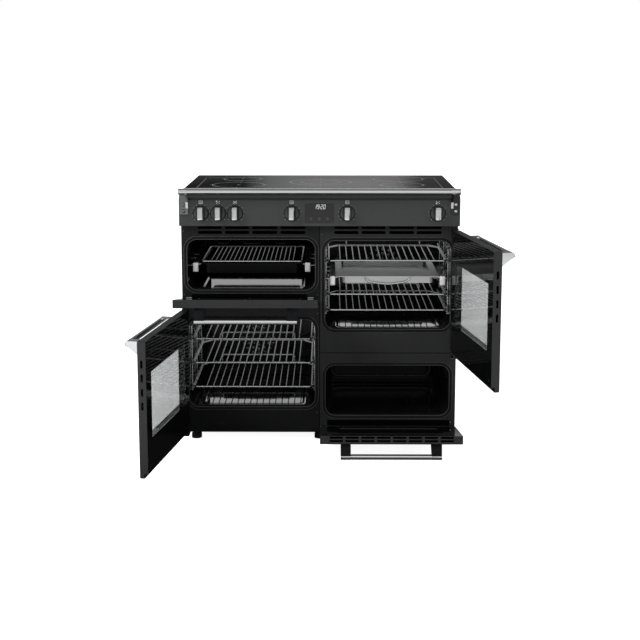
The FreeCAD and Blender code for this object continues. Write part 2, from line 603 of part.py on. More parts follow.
# ------------------------------------------------------------ convection fans
covers, motors = [], []
for label in ("right", "left"):
    fx, fz = FAN[label]
    o = RIGHT if label == "right" else LEFT
    y0 = 411.0
    c = rbox_y(fx - 150, fx + 150, fz - 112, fz + 112, 20, y0, cavity_depth - 0.2)
    c = cut(c, rbox_y(fx - 148, fx + 148, fz - 110, fz + 110, 18, y0 + 1.6, cavity_depth + 1))
    holes = []
    for ring, n, ro in ((26.0, 8, 5.0), (44.0, 12, 6.0), (62.0, 16, 6.0)):
        for i in range(n):
            t = 2 * math.pi * i / n
            holes.append(cyl(fx + ring * math.cos(t), y0 - 1, fz + ring * math.sin(t), ro, 4,
                             (0, 1, 0)))
    for s in (-1, 1):
        for k in range(5):
            xx = fx + s * 124
            holes.append(rbox_y(xx - 12, xx + 12, fz - 84 + 38 * k, fz - 70 + 38 * k, 5,
                                y0 - 1, y0 + 3))
    covers.append(cut(c, holes))
    m = cyl(fx, cavity_depth + 2.0, fz, 36.0, 46.0, (0, 1, 0))
    m = fuse([m, box(fx - 52, fx + 52, cavity_depth + 2.0, cavity_depth + 5.0,
                     fz - 16, fz + 16),
              cyl(fx, cavity_depth - 22.0, fz, 4.0, 26.0, (0, 1, 0))])
    motors.append(m)
    hub = cyl(fx, 419.0, fz, 11.0, 17.0, (0, 1, 0))
    disc = cyl(fx, 434.5, fz, 76.0, 1.5, (0, 1, 0))
    imp = [hub, disc]
    for i in range(10):
        blade = box(fx + 34, fx + 74, 420.5, 434.6, fz - 0.9, fz + 0.9)
        blade.rotate(V(fx + 54, 0, fz), V(0, 1, 0), 28)
        blade.rotate(V(fx, 0, fz), V(0, 1, 0), 36 * i)
        imp.append(blade)
    imp = cut(fuse(imp), cyl(fx, 417.5, fz, 4.05, 20, (0, 1, 0)))
    add("impeller_%s" % label, imp)
add("fan_covers", covers)
add("fan_motors", motors)

# -------------------------------------------------------------------- export
for name in sorted(NODES):
    solids = NODES[name]
    for s in solids:
        s.translate(V(0, depth_shift, 0))
    shape = solids[0] if len(solids) == 1 else Part.makeCompound(solids)
    if not shape.isValid():
        raise SystemExit("invalid: " + name)
    shape.exportStep("parts/%s.step" % name)
lo_y = min(s.BoundBox.YMin for n in NODES.values() for s in n)
hi_y = max(s.BoundBox.YMax for n in NODES.values() for s in n)
lo_z = min(s.BoundBox.ZMin for n in NODES.values() for s in n)
print(len(NODES), "nodes", sum(len(n) for n in NODES.values()), "solids",
      "y", round(lo_y, 1), round(hi_y, 1), "z", round(lo_z, 2))
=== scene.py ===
import bpy
import bmesh
import math
from mathutils import Matrix, Vector


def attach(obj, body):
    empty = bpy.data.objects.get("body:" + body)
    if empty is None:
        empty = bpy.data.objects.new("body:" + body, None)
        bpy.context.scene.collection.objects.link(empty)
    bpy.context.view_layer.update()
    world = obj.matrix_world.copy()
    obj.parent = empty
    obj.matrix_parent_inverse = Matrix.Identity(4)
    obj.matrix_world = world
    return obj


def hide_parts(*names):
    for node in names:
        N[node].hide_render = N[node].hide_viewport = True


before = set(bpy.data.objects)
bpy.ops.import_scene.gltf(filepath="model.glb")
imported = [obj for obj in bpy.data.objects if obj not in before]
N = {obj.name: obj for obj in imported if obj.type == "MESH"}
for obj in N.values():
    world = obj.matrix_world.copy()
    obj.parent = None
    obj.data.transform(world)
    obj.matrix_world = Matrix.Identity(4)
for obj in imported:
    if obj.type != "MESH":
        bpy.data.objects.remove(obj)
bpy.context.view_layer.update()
SHIFT = -0.046            # chassis front plane in the row frame (m)
scene = bpy.context.scene


# ------------------------------------------------------------------ materials
class Mat:
    """Small builder for node materials in object coordinates (metres)."""

    def __init__(self, name, **sockets):
        self.m = bpy.data.materials.new(name)
        self.m.use_nodes = True
        self.nt = self.m.node_tree
        self.nt.nodes.clear()
        out = self.nt.nodes.new("ShaderNodeOutputMaterial")
        self.b = self.nt.nodes.new("ShaderNodeBsdfPrincipled")
        self.nt.links.new(self.b.outputs[0], out.inputs[0])
        self.tc = self.nt.nodes.new("ShaderNodeTexCoord")
        for k, v in sockets.items():
            self.b.inputs[k.replace("_", " ")].default_value = v

    def node(self, kind, **props):
        n = self.nt.nodes.new(kind)
        for k, v in props.items():
            setattr(n, k, v)
        return n

    def link(self, a, b):
        self.nt.links.new(a, b)

    def coords(self, scale=(1, 1, 1), rot=(0, 0, 0)):
        mp = self.node("ShaderNodeMapping")
        mp.inputs["Scale"].default_value = scale
        mp.inputs["Rotation"].default_value = rot
        self.link(self.tc.outputs["Object"], mp.inputs[0])
        return mp.outputs[0]

    def noise(self, scale, detail=3.0, rough=0.5, vec=None, distort=0.0):
        n = self.node("ShaderNodeTexNoise")
        n.inputs["Scale"].default_value = scale
        n.inputs["Detail"].default_value = detail
        n.inputs["Roughness"].default_value = rough
        n.inputs["Distortion"].default_value = distort
        self.link(vec or self.tc.outputs["Object"], n.inputs["Vector"])
        return n.outputs[0]

    def voronoi(self, scale, feature="F1", vec=None, out="Distance"):
        n = self.node("ShaderNodeTexVoronoi", feature=feature)
        n.inputs["Scale"].default_value = scale
        self.link(vec or self.tc.outputs["Object"], n.inputs["Vector"])
        return n.outputs[out]

    def ramp(self, fac, stops):
        r = self.node("ShaderNodeValToRGB")
        e = r.color_ramp.elements
        while len(e) < len(stops):
            e.new(0.5)
        for el, (p, c) in zip(e, stops):
            el.position = p
            el.color = (c, c, c, 1) if isinstance(c, (int, float)) else (*c, 1)
        self.link(fac, r.inputs[0])
        return r.outputs[0]

    def remap(self, v, a, b, c, d):
        n = self.node("ShaderNodeMapRange")
        for i, x in zip((1, 2, 3, 4), (a, b, c, d)):
            n.inputs[i].default_value = x
        self.link(v, n.inputs[0])
        return n.outputs[0]

    def mix(self, fac, a, b, mode="MIX"):
        n = self.node("ShaderNodeMix", data_type="RGBA", blend_type=mode)
        for sock, v in ((n.inputs[0], fac), (n.inputs[6], a), (n.inputs[7], b)):
            if isinstance(v, (int, float)):
                sock.default_value = v
            elif isinstance(v, tuple):
                sock.default_value = (*v, 1)
            else:
                self.link(v, sock)
        return n.outputs[2]

    def math(self, op, a, b=None):
        n = self.node("ShaderNodeMath", operation=op)
        for s, v in ((n.inputs[0], a), (n.inputs[1], b)):
            if v is None:
                continue
            if isinstance(v, (int, float)):
                s.default_value = v
            else:
                self.link(v, s)
        return n.outputs[0]

    def color(self, v):
        self.link(v, self.b.inputs["Base Color"])

    def rough(self, v):
        self.link(v, self.b.inputs["Roughness"])

    def bump(self, h, distance, strength=1.0, prev=None):
        n = self.node("ShaderNodeBump")
        n.inputs["Distance"].default_value = distance
        n.inputs["Strength"].default_value = strength
        self.link(h, n.inputs["Height"])
        if prev is not None:
            self.link(prev, n.inputs["Normal"])
        self.link(n.outputs[0], self.b.inputs["Normal"])
        return n.outputs[0]


def enamel(name, base, fleck, rough=0.08, flecks=0.62, peel=0.000006, spec=0.5):
    """Vitreous enamel: glassy, dark, fine pale flecks, slight orange peel."""
    k = Mat(name, Specular_IOR_Level=spec)
    cell = k.voronoi(900.0)
    size = k.voronoi(900.0, out="Color")
    gate = k.ramp(size, [(flecks, 0.0), (flecks + 0.04, 1.0)])
    dot = k.ramp(cell, [(0.14, 1.0), (0.24, 0.0)])
    f = k.math("MULTIPLY", gate, dot)
    cloud = k.noise(9.0, 3, 0.55)
    tone = k.mix(cloud, tuple(c * 0.82 for c in base), tuple(c * 1.2 for c in base))
    k.color(k.mix(f, tone, fleck))
    k.rough(k.remap(k.noise(38.0, 4, 0.6), 0.3, 0.7, rough * 0.8, rough * 1.35))
    k.bump(k.noise(60.0, 2, 0.4), peel, 0.5)
    return k.m


def plated_or_moulded(name, limit):
    """Bracket and screw plating: bright plating on the fin that stands proud of y = limit, gloss black
    moulding on the base plate behind it; left of x = 0 the plating is painted dark on the base plate and
    the screws, a painted shade and dark reflection."""
    k = Mat(name, Specular_IOR_Level=0.5)
    sep = k.node("ShaderNodeSeparateXYZ")
    k.link(k.tc.outputs["Object"], sep.inputs[0])
    fin = k.math("LESS_THAN", sep.outputs[1], limit)
    cloud = k.noise(40.0, 4, 0.6)
    # left of x = 0 the plating is painted dark: painted shade and dark reflection on the left plate and
    # screws
    left = k.math("LESS_THAN", sep.outputs[0], 0.0)
    right = (0.014, 0.014, 0.015) if limit > -0.5 else (0.86, 0.87, 0.88)
    base = k.mix(left, k.mix(cloud, tuple(c * 0.7 for c in right), right),
                 k.mix(cloud, (0.20, 0.205, 0.21), (0.27, 0.275, 0.28)))
    plate = k.mix(cloud, (0.76, 0.77, 0.78), (0.86, 0.87, 0.88))
    k.color(k.mix(fin, base, plate))
    if limit > -0.5:
        k.link(k.math("MAXIMUM", fin, left), k.b.inputs["Metallic"])
    else:
        k.b.inputs["Metallic"].default_value = 1.0
    k.rough(k.remap(cloud, 0.3, 0.7, 0.07, 0.13))
    k.bump(k.noise(260.0, 2, 0.5), 0.000006, 0.4)
    return k.m


def plated_bar(name, y, z, r):
    """Plated round bar along x at (y, z); its posts are painted near-black, a painted dark reflection on
    plated posts.
    """
    k = Mat(name, Specular_IOR_Level=0.3)
    sep = k.node("ShaderNodeSeparateXYZ")
    k.link(k.tc.outputs["Object"], sep.inputs[0])
    dy = k.math("POWER", k.math("ABSOLUTE", k.math("SUBTRACT", sep.outputs[1], y)), 2.0)
    dz = k.math("POWER", k.math("ABSOLUTE", k.math("SUBTRACT", sep.outputs[2], z)), 2.0)
    on = k.math("LESS_THAN", k.math("ADD", dy, dz), r * r)
    cloud = k.noise(40.0, 4, 0.6)
    # off the bar the posts get near-black: painted dark reflection
    k.color(k.mix(on, k.mix(cloud, (0.006, 0.006, 0.007), (0.010, 0.010, 0.011)),
                  k.mix(cloud, (0.78, 0.79, 0.80), (0.86, 0.87, 0.88))))
    k.link(on, k.b.inputs["Metallic"])
    k.rough(k.remap(cloud, 0.3, 0.7, 0.09, 0.16))
    k.bump(k.noise(260.0, 2, 0.5), 0.000006, 0.4)
    return k.m


def stove_paint(name, base, rough=0.4):
    """Baked powder coat: satin, fine leathery grain."""
    k = Mat(name, Specular_IOR_Level=0.45)
    cloud = k.noise(6.0, 3, 0.5)
    grain = k.noise(900.0, 2, 0.5)
    tone = k.mix(cloud, tuple(c * 0.88 for c in base), tuple(c * 1.12 for c in base))
    k.color(k.mix(k.remap(grain, 0.35, 0.65, 0, 0.16), tone, tuple(c * 1.7 for c in base)))
    k.rough(k.remap(k.noise(24.0, 4, 0.6), 0.3, 0.7, rough - 0.05, rough + 0.07))
    k.bump(grain, 0.00005, 0.5)
    return k.m


def metallic_paint(name, base, spark, rough=0.34, top=None):
    """Anthracite metallic lacquer: satin with tiny flakes, duller above height top, where
    the rail keeps the light off."""
    k = Mat(name, Specular_IOR_Level=0.5, Coat_Weight=0.35, Coat_Roughness=0.12)
    flake = k.voronoi(2600.0, out="Color")
    cloud = k.noise(5.0, 2, 0.5)
    tone = k.mix(cloud, tuple(c * 0.93 for c in base), tuple(c * 1.07 for c in base))
    f = k.ramp(flake, [(0.45, 0.0), (0.95, 0.55)])
    full = k.mix(f, tone, spark)
    if top:
        sep = k.node("ShaderNodeSeparateXYZ")
        k.link(k.tc.outputs["Object"], sep.inputs[0])
        shade = k.ramp(k.remap(sep.outputs[2], top - 0.002, top + 0.018, 0.0, 1.0),
                       [(0.10, 0.0), (0.13, 0.55), (0.36, 0.55), (0.42, 0.0), (0.80, 0.0),
                        (0.86, 0.55)])
        full = k.mix(shade, full, (0.006, 0.0063, 0.0062))
    k.color(full)
    k.rough(k.remap(k.noise(30.0, 4, 0.6), 0.3, 0.7, rough - 0.04, rough + 0.06))
    k.bump(k.noise(420.0, 2, 0.4), 0.00003, 0.5)
    return k.m


def chrome(name, tint, rough=0.06, smear=0.05, brushed=None):
    """Bright plating: mirror metal with faint polishing haze, or brushed along one axis."""
    k = Mat(name, Metallic=1.0)
    cloud = k.noise(14.0, 4, 0.6)
    k.color(k.mix(cloud, tuple(c * 0.95 for c in tint), tint))
    if brushed:
        v = k.coords(brushed)
        g = k.noise(1.0, 4, 0.7, v)
        k.rough(k.remap(g, 0.3, 0.7, rough, rough + smear))
        k.bump(g, 0.00002, 0.35)
    else:
        k.rough(k.remap(k.noise(55.0, 4, 0.65), 0.35, 0.7, rough, rough + smear))
        k.bump(k.noise(260.0, 2, 0.5), 0.000008, 0.4)
    return k.m


def plastic(name, base, rough=0.4, grain=600.0, depth=0.00004):
    """Moulded plastic with a spark-eroded grain."""
    k = Mat(name, Specular_IOR_Level=0.5)
    g = k.noise(grain, 3, 0.6)
    cloud = k.noise(11.0, 3, 0.5)
    k.color(k.mix(cloud, tuple(c * 0.88 for c in base), tuple(c * 1.1 for c in base)))
    k.rough(k.remap(g, 0.3, 0.7, rough - 0.05, rough + 0.08))
    k.bump(g, depth, 0.6)
    return k.m


def black_glass(name, base, rough=0.03):
    """Ceramic glass: deep black body with wiping haze and fine scratches."""
    k = Mat(name, Specular_IOR_Level=0.55, Coat_Weight=0.2, Coat_Roughness=0.02)
    cloud = k.noise(7.0, 3, 0.6)
    k.color(k.mix(cloud, tuple(c * 0.7 for c in base), tuple(c * 1.3 for c in base)))
    streak = k.noise(1.0, 5, 0.6, k.coords((9, 45, 9), (0, 0, 0.35)))
    k.rough(k.remap(streak, 0.42, 0.75, rough, rough + 0.06))
    k.bump(k.noise(900.0, 2, 0.5), 0.000002, 0.3)
    return k.m


def clear_glass(name, tint, rough=0.0):
    k = Mat(name, IOR=1.22)
    k.b.inputs["Transmission Weight"].default_value = 1.0
    cloud = k.noise(3.0, 2, 0.5)
    k.color(k.mix(cloud, tuple(c * 0.97 for c in tint), tint))
    k.rough(k.remap(k.noise(25.0, 4, 0.6), 0.45, 0.8, rough, rough + 0.002))
    return k.m


def galvanised(name):
    """Zinc spangle: irregular crystals with slightly different tone and sheen."""
    k = Mat(name, Metallic=0.85)
    c = k.voronoi(95.0, out="Color")
    c2 = k.voronoi(240.0, out="Color")
    t = k.mix(0.35, c, c2)
    k.color(k.ramp(t, [(0.2, (0.36, 0.375, 0.385)), (0.8, (0.55, 0.565, 0.575))]))
    k.rough(k.remap(k.noise(70.0, 3, 0.6), 0.3, 0.7, 0.34, 0.5))
    k.bump(k.noise(420.0, 2, 0.5), 0.00002, 0.5)
    return k.m


def heat_steel(name, base):
    """Steel browned and dulled by heat."""
    k = Mat(name, Metallic=0.7)
    n = k.noise(60.0, 5, 0.65)
    k.color(k.ramp(n, [(0.3, tuple(c * 0.45 for c in base)), (0.55, base),
                       (0.8, (base[0] * 1.25, base[1] * 1.1, base[2] * 0.9))]))
    k.rough(k.remap(n, 0.3, 0.7, 0.38, 0.62))
    k.bump(k.noise(800.0, 2, 0.5), 0.00003, 0.6)
    return k.m


def rubber(name, base, rough=0.72, spec=None):
    k = Mat(name, Specular_IOR_Level=spec or (0.3 if rough > 0.5 else 0.55))
    g = k.noise(1400.0, 3, 0.6)
    k.color(k.mix(k.noise(20.0, 3, 0.5), tuple(c * 0.8 for c in base),
                  tuple(c * 1.25 for c in base)))
    k.rough(k.remap(g, 0.3, 0.7, rough - 0.12, rough + 0.13))
    k.bump(g, 0.00006, 0.8 if rough > 0.5 else 0.15)
    return k.m


def print_ink(name, base, rough=0.35, glow=0.0):
    k = Mat(name, Specular_IOR_Level=0.3)
    g = k.noise(1800.0, 2, 0.5)
    k.color(k.mix(g, tuple(c * 0.85 for c in base), base))
    k.rough(k.remap(g, 0.3, 0.7, rough - 0.05, rough + 0.05))
    if glow:
        k.b.inputs["Emission Color"].default_value = (*base, 1)
        k.b.inputs["Emission Strength"].default_value = glow
    return k.m


M = {
    "enamel": enamel("vitreous_enamel", (0.007, 0.0072, 0.0076), (0.045, 0.046, 0.048), 0.10,
                     spec=0.2),
    "front": enamel("front_enamel", (0.0085, 0.0088, 0.0092), (0.030, 0.031, 0.032), 0.20,
                    spec=0.16),
    # lighter copy of the front enamel for the right-hand panels: painted light, where those panels catch
    # more lamp light
    "front_r": enamel("front_enamel_painted_lighter", (0.0165, 0.0170, 0.0175), (0.045, 0.046, 0.048),
                      0.20, spec=0.18),
    "liner": enamel("liner_enamel", (0.0050, 0.0051, 0.0054), (0.028, 0.029, 0.030), 0.10,
                    peel=0.000002, spec=0.20),
    "liner_s": enamel("slow_liner_enamel", (0.0055, 0.0056, 0.0058), (0.020, 0.021, 0.022),
                      0.12, peel=0.000002, spec=0.22),
    "press": enamel("pressed_enamel", (0.0050, 0.0051, 0.0054), (0.028, 0.029, 0.030), 0.05,
                    flecks=0.88, peel=0.0000006),
    # far lighter than the liner enamel: painted highlight on the liner lips and the rear bead
    "lip": enamel("lip_enamel_painted_highlight", (0.034, 0.0345, 0.0352), (0.05, 0.051, 0.053), 0.16, spec=0.6),
    "cover": enamel("cover_enamel", (0.0035, 0.0036, 0.0038), (0.018, 0.019, 0.020), 0.20,
                    spec=0.12),
    "pan_black": enamel("pan_enamel", (0.0022, 0.0022, 0.0024), (0.012, 0.012, 0.013), 0.22,
                        spec=0.08),
    "panel": enamel("door_panel_enamel", (0.0034, 0.0035, 0.0038), (0.018, 0.019, 0.020), 0.035,
                    flecks=0.90, peel=0.0000005, spec=0.32),
    "body": stove_paint("body_stove_paint", (0.016, 0.0164, 0.0168), 0.38),
    "door": stove_paint("door_stove_paint", (0.0150, 0.0157, 0.0160), 0.34),
    "fascia": metallic_paint("fascia_lacquer", (0.020, 0.0215, 0.021), (0.052, 0.055, 0.054),
                             top=0.8965),
    "disc": metallic_paint("knob_lacquer", (0.020, 0.0215, 0.021), (0.052, 0.055, 0.054)),
    "chrome": chrome("bright_chrome", (0.82, 0.83, 0.84), 0.05, 0.04),
    "bracket": plated_or_moulded("bracket_plating_painted_shade", SHIFT - 0.0335),
    "fixing": plated_or_moulded("fixing_plating_painted_shade", -1.0),
    "wire": chrome("plated_wire", (0.84, 0.85, 0.86), 0.22, 0.10),
    "pressed": chrome("pressed_steel", (0.72, 0.725, 0.73), 0.34, 0.12, (500, 12, 500)),
    "bright": chrome("bright_steel", (0.62, 0.63, 0.64), 0.24, 0.12, (30, 500, 500)),
    "fan": chrome("fan_aluminium", (0.58, 0.59, 0.60), 0.30, 0.14, (400, 60, 400)),
    "heat": heat_steel("heated_steel", (0.20, 0.185, 0.175)),
    "element": heat_steel("element_sheath", (0.030, 0.028, 0.027)),
    "hob": black_glass("ceramic_glass", (0.007, 0.007, 0.008)),
    "clock": black_glass("clock_glass", (0.006, 0.006, 0.007), 0.05),
    "window": clear_glass("window_glass", (0.636, 0.644, 0.644)),
    "zinc": galvanised("galvanised_sheet"),
    "rubber": rubber("gasket_rubber", (0.020, 0.020, 0.021)),
    "black": plastic("black_moulding", (0.014, 0.014, 0.015), 0.42),
    "gloss": plastic("gloss_moulding", (0.010, 0.010, 0.011), 0.14, 240.0, 0.00001),
    "white": plastic("white_moulding", (0.78, 0.78, 0.76), 0.35),
    "gasket": rubber("gasket_cord", (0.005, 0.005, 0.0052), 0.45, 0.2),
    # grey raised to paint the rim's highlight
    "rim": plastic("gasket_rim_painted_highlight", (0.052, 0.053, 0.054), 0.30),
    # near-black for the gasket channels, sills and baffles: painted shade in gaps and slots
    "shade_fill": rubber("painted_shade_black", (0.0010, 0.0010, 0.0010), 0.86, 0.02),
    # darker copy of the white moulding: painted shade
    "white_painted_shade": plastic("white_moulding_painted_shade", (0.46, 0.46, 0.45), 0.45),
    "screw": chrome("blackened_screw", (0.10, 0.10, 0.105), 0.30, 0.15),
    "ceramic": plastic("ceramic_disc", (0.60, 0.57, 0.52), 0.7, 300.0, 0.0001),
    "ink": print_ink("grey_print", (0.62, 0.63, 0.63)),
    "dimink": print_ink("dim_print", (0.10, 0.10, 0.105)),
    "hobink": print_ink("hob_print", (0.42, 0.42, 0.42), 0.4),
    # grey line round the hob field: painted highlight
    "edge_highlight": print_ink("hob_edge_highlight_ink", (0.13, 0.13, 0.13), 0.4),
    "digits": print_ink("lit_digits", (0.74, 0.78, 0.81), 0.4, 0.75),
    "dark": rubber("slot_shadow", (0.006, 0.006, 0.006)),
}

# ---------------------------------------------------- finishes of the CAD nodes
FINISH = {
    "side_panel_left": "body", "side_panel_right": "body", "back_panel": "zinc",
    "base_panel": "zinc", "front_panel_left": "front", "front_panel_right_upper": "front_r",
    "front_panel_right_lower": "front_r", "liner_grill": "liner", "liner_left": "liner",
    "liner_right": "liner", "liner_slow": "liner_s", "door_seals": "rubber", "hob_glass": "hob",
    "hob_tray": "body", "hob_elements": "ceramic", "front_rail": "chrome",
    "rail_brackets": "bracket", "bracket_screws": "fixing", "control_fascia": "fascia",
    "clock_window": "clock", "control_switches": "black", "feet": "black",
    "side_racks": "wire", "runner_guides": "bright", "grill_element": "element",
    "fan_covers": "cover", "fan_motors": "heat", "impeller_right": "fan",
    "impeller_left": "fan", "door_hinges": "screw", "terminal_box": "black",
    "pan_right": "pressed", "pan_grill": "pan_black", "grid_grill": "wire",
}
for i in range(1, 7):
    FINISH["knob_%d" % i] = "gloss"
for side in ("right", "left"):
    for i in (1, 2, 3):
        FINISH["shelf_%s_%d" % (side, i)] = "wire"
for d in ("right", "left", "grill", "slow"):
    FINISH["door_%s_shell" % d] = "door"
    FINISH["door_%s_inner" % d] = "panel"
    FINISH["door_%s_handle" % d] = "chrome"
    FINISH["door_%s_glass" % d] = "window"


def drop_axis(z0, z1):
    """Line of a drop door's handle bar with the door down, in metres."""
    dy, dz = -62.0, z1 - 21.0 - (z0 + 15.0)
    c, t = math.cos(math.radians(79.8)), math.sin(math.radians(79.8))
    return SHIFT + (-16.0 + dy * c - dz * t) * 0.001, (z0 + 15.0 + dy * t + dz * c) * 0.001


for d, z0, z1 in (("grill", 511.0, 786.0), ("slow", 34.0, 309.0)):
    M["bar_" + d] = plated_bar("bar_plating_painted_dark_posts_" + d, *drop_axis(z0, z1), 0.0102)
    FINISH["door_%s_handle" % d] = "bar_" + d

BEVEL = {          # edge radius in mm where a folded or cast edge would show one
    "side_panel_left": 0.8, "side_panel_right": 0.8,
    "hob_glass": 0.6, "hob_tray": 0.6, "rail_brackets": 1.2, "clock_window": 0.5,
    "door_right_shell": 0.7, "door_left_shell": 0.7, "door_grill_shell": 0.7,
    "door_slow_shell": 0.7, "door_right_inner": 0.5, "door_left_inner": 0.5,
    "door_grill_inner": 0.5, "door_slow_inner": 0.5, "door_right_handle": 1.0,
    "door_left_handle": 1.0, "door_grill_handle": 1.0, "door_slow_handle": 1.0,
    "front_panel_left": 0.6, "front_panel_right_upper": 0.6, "front_panel_right_lower": 0.6,
    "pan_right": 0.9, "pan_grill": 0.9, "runner_guides": 0.5, "fan_covers": 0.5,
    "feet": 0.8, "terminal_box": 1.0, "door_seals": 0.8, "door_hinges": 0.4,
    "back_panel": 0.4, "liner_grill": 0.5, "liner_left": 0.5, "liner_right": 0.5,
    "liner_slow": 0.5,
}


def polish(ob, width):
    """Welds the imported mesh, rounds its sharp edges and evens the shading."""
    w = ob.modifiers.new("weld", "WELD")
    w.merge_threshold = 0.00001
    if width:
        b = ob.modifiers.new("edge", "BEVEL")
        b.width = width * 0.001
        b.segments = 2
        b.limit_method = "ANGLE"
        b.angle_limit = math.radians(40)
        b.harden_normals = False
        b.use_clamp_overlap = True
    e = ob.modifiers.new("split", "EDGE_SPLIT")
    e.split_angle = math.radians(38)
    n = ob.modifiers.new("even", "WEIGHTED_NORMAL")
    n.keep_sharp = True


FLAT = ("control_fascia",)          # large flat sheets whose own normals are best left alone
for name, ob in N.items():
    mat = M[FINISH[name]]
    if not ob.material_slots:
        ob.data.materials.append(mat)
    for s in ob.material_slots:
        s.material = mat
    if name not in FLAT:
        polish(ob, BEVEL.get(name, 0))


# -------------------------------------------------------------- mesh helpers
def keep(name, bm, mat, body, smooth=True, matrix=None):
    """Turns a bmesh (mm, measured from the chassis front plane) into a piece."""
    if matrix is not None:
        bmesh.ops.transform(bm, matrix=matrix, verts=bm.verts)
    to_row = Matrix.Translation((0, SHIFT, 0)) @ Matrix.Scale(0.001, 4)
    bmesh.ops.transform(bm, matrix=to_row, verts=bm.verts)
    bmesh.ops.recalc_face_normals(bm, faces=bm.faces)
    me = bpy.data.meshes.new(name)
    bm.to_mesh(me)
    bm.free()
    me.materials.append(M[mat])
    for p in me.polygons:
        p.use_smooth = smooth
    ob = bpy.data.objects.new(name, me)
    scene.collection.objects.link(ob)
    if smooth:
        e = ob.modifiers.new("split", "EDGE_SPLIT")
        e.split_angle = math.radians(38)
    if body is not None:
        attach(ob, body)
    return ob


def add_box(bm, x0, x1, y0, y1, z0, z1, bevel=0.0, seg=2):
    tmp = bmesh.new()
    bmesh.ops.create_cube(tmp, size=1.0)
    bmesh.ops.transform(tmp, verts=tmp.verts, matrix=Matrix.Translation(
        ((x0 + x1) / 2, (y0 + y1) / 2, (z0 + z1) / 2)) @ Matrix.Diagonal(
        (x1 - x0, y1 - y0, z1 - z0, 1)))
    if bevel:
        bmesh.ops.bevel(tmp, geom=tmp.edges[:], offset=bevel, segments=seg,
                        affect="EDGES", profile=0.5)
    join(bm, tmp)


def join(bm, tmp):
    me = bpy.data.meshes.new("tmp")
    tmp.to_mesh(me)
    tmp.free()
    bm.from_mesh(me)
    bpy.data.meshes.remove(me)


def lathe(bm, centre, axis, profile, seg=48):
    """profile: (distance along axis, radius) pairs; ends at radius 0 are closed."""
    tmp = bmesh.new()
    a = Vector(axis).normalized()
    u = a.orthogonal().normalized()
    v = a.cross(u)
    rings = []
    for t, r in profile:
        c = Vector(centre) + a * t
        if r < 1e-6:
            rings.append([tmp.verts.new(c)])
        else:
            rings.append([tmp.verts.new(c + (u * math.cos(2 * math.pi * i / seg)
                                             + v * math.sin(2 * math.pi * i / seg)) * r)
                          for i in range(seg)])
    for p, q in zip(rings, rings[1:]):
        for i in range(seg):
            j = (i + 1) % seg
            f = [p[i % len(p)], p[j % len(p)], q[j % len(q)], q[i % len(q)]]
            f = list(dict.fromkeys(f))
            if len(f) > 2:
                tmp.faces.new(f)
    join(bm, tmp)


def ring_band(bm, cx, cy, z, r0, r1, h=0.12, seg=96, a0=0.0, a1=2 * math.pi):
    """Flat printed ring (or arc) lying on a level surface."""
    full = abs(a1 - a0 - 2 * math.pi) < 1e-6
    n = seg if full else max(6, int(seg * (a1 - a0) / (2 * math.pi)))
    rows = []
    for i in range(n if full else n + 1):
        t = a0 + (a1 - a0) * i / n
        c, s = math.cos(t), math.sin(t)
        rows.append([bm.verts.new((cx + r * c, cy + r * s, zz))
                     for r, zz in ((r0, z), (r0, z + h), (r1, z + h), (r1, z))])
    m = len(rows)
    for i in range(m if full else m - 1):
        a, b = rows[i], rows[(i + 1) % m]
        for k in range(4):
            bm.faces.new([a[k], b[k], b[(k + 1) % 4], a[(k + 1) % 4]])
    if not full:
        bm.faces.new(rows[0])
        bm.faces.new(list(reversed(rows[-1])))


def rounded_path(x0, x1, y0, y1, r, seg=8):
    pts = []
    for cx, cy, a in ((x1 - r, y1 - r, 0), (x0 + r, y1 - r, 90), (x0 + r, y0 + r, 180),
                      (x1 - r, y0 + r, 270)):
        for i in range(seg + 1):
            t = math.radians(a + 90 * i / seg)
            pts.append((cx + r * math.cos(t), cy + r * math.sin(t)))
    return pts


def frame_band(bm, outer, inner, f0, f1):
    """Band between two rounded rectangles; f0/f1 map (a, b) to a point at each depth."""
    rows = []
    for (a, b), (c, d) in zip(outer, inner):
        rows.append([bm.verts.new(f0(a, b)), bm.verts.new(f1(a, b)),
                     bm.verts.new(f1(c, d)), bm.verts.new(f0(c, d))])
    n = len(rows)
    for i in range(n):
        p, q = rows[i], rows[(i + 1) % n]
        for k in range(4):
            bm.faces.new([p[k], q[k], q[(k + 1) % 4], p[(k + 1) % 4]])


# --------------------------------------------------------------------- knobs
KNOB_X = [-421.7, -360.0, -300.0, -98.5, 98.8, 420.0]
KZ = 850.0


def loft(bm, rings, close=True):
    rows = [[bm.verts.new(q) for q in ring] for ring in rings]
    for p, q in zip(rows, rows[1:]):
        for a in range(len(p)):
            b = (a + 1) % len(p)
            bm.faces.new([p[a], p[b], q[b], q[a]])
    if close:
        bm.faces.new(rows[-1])
        bm.faces.new(list(reversed(rows[0])))


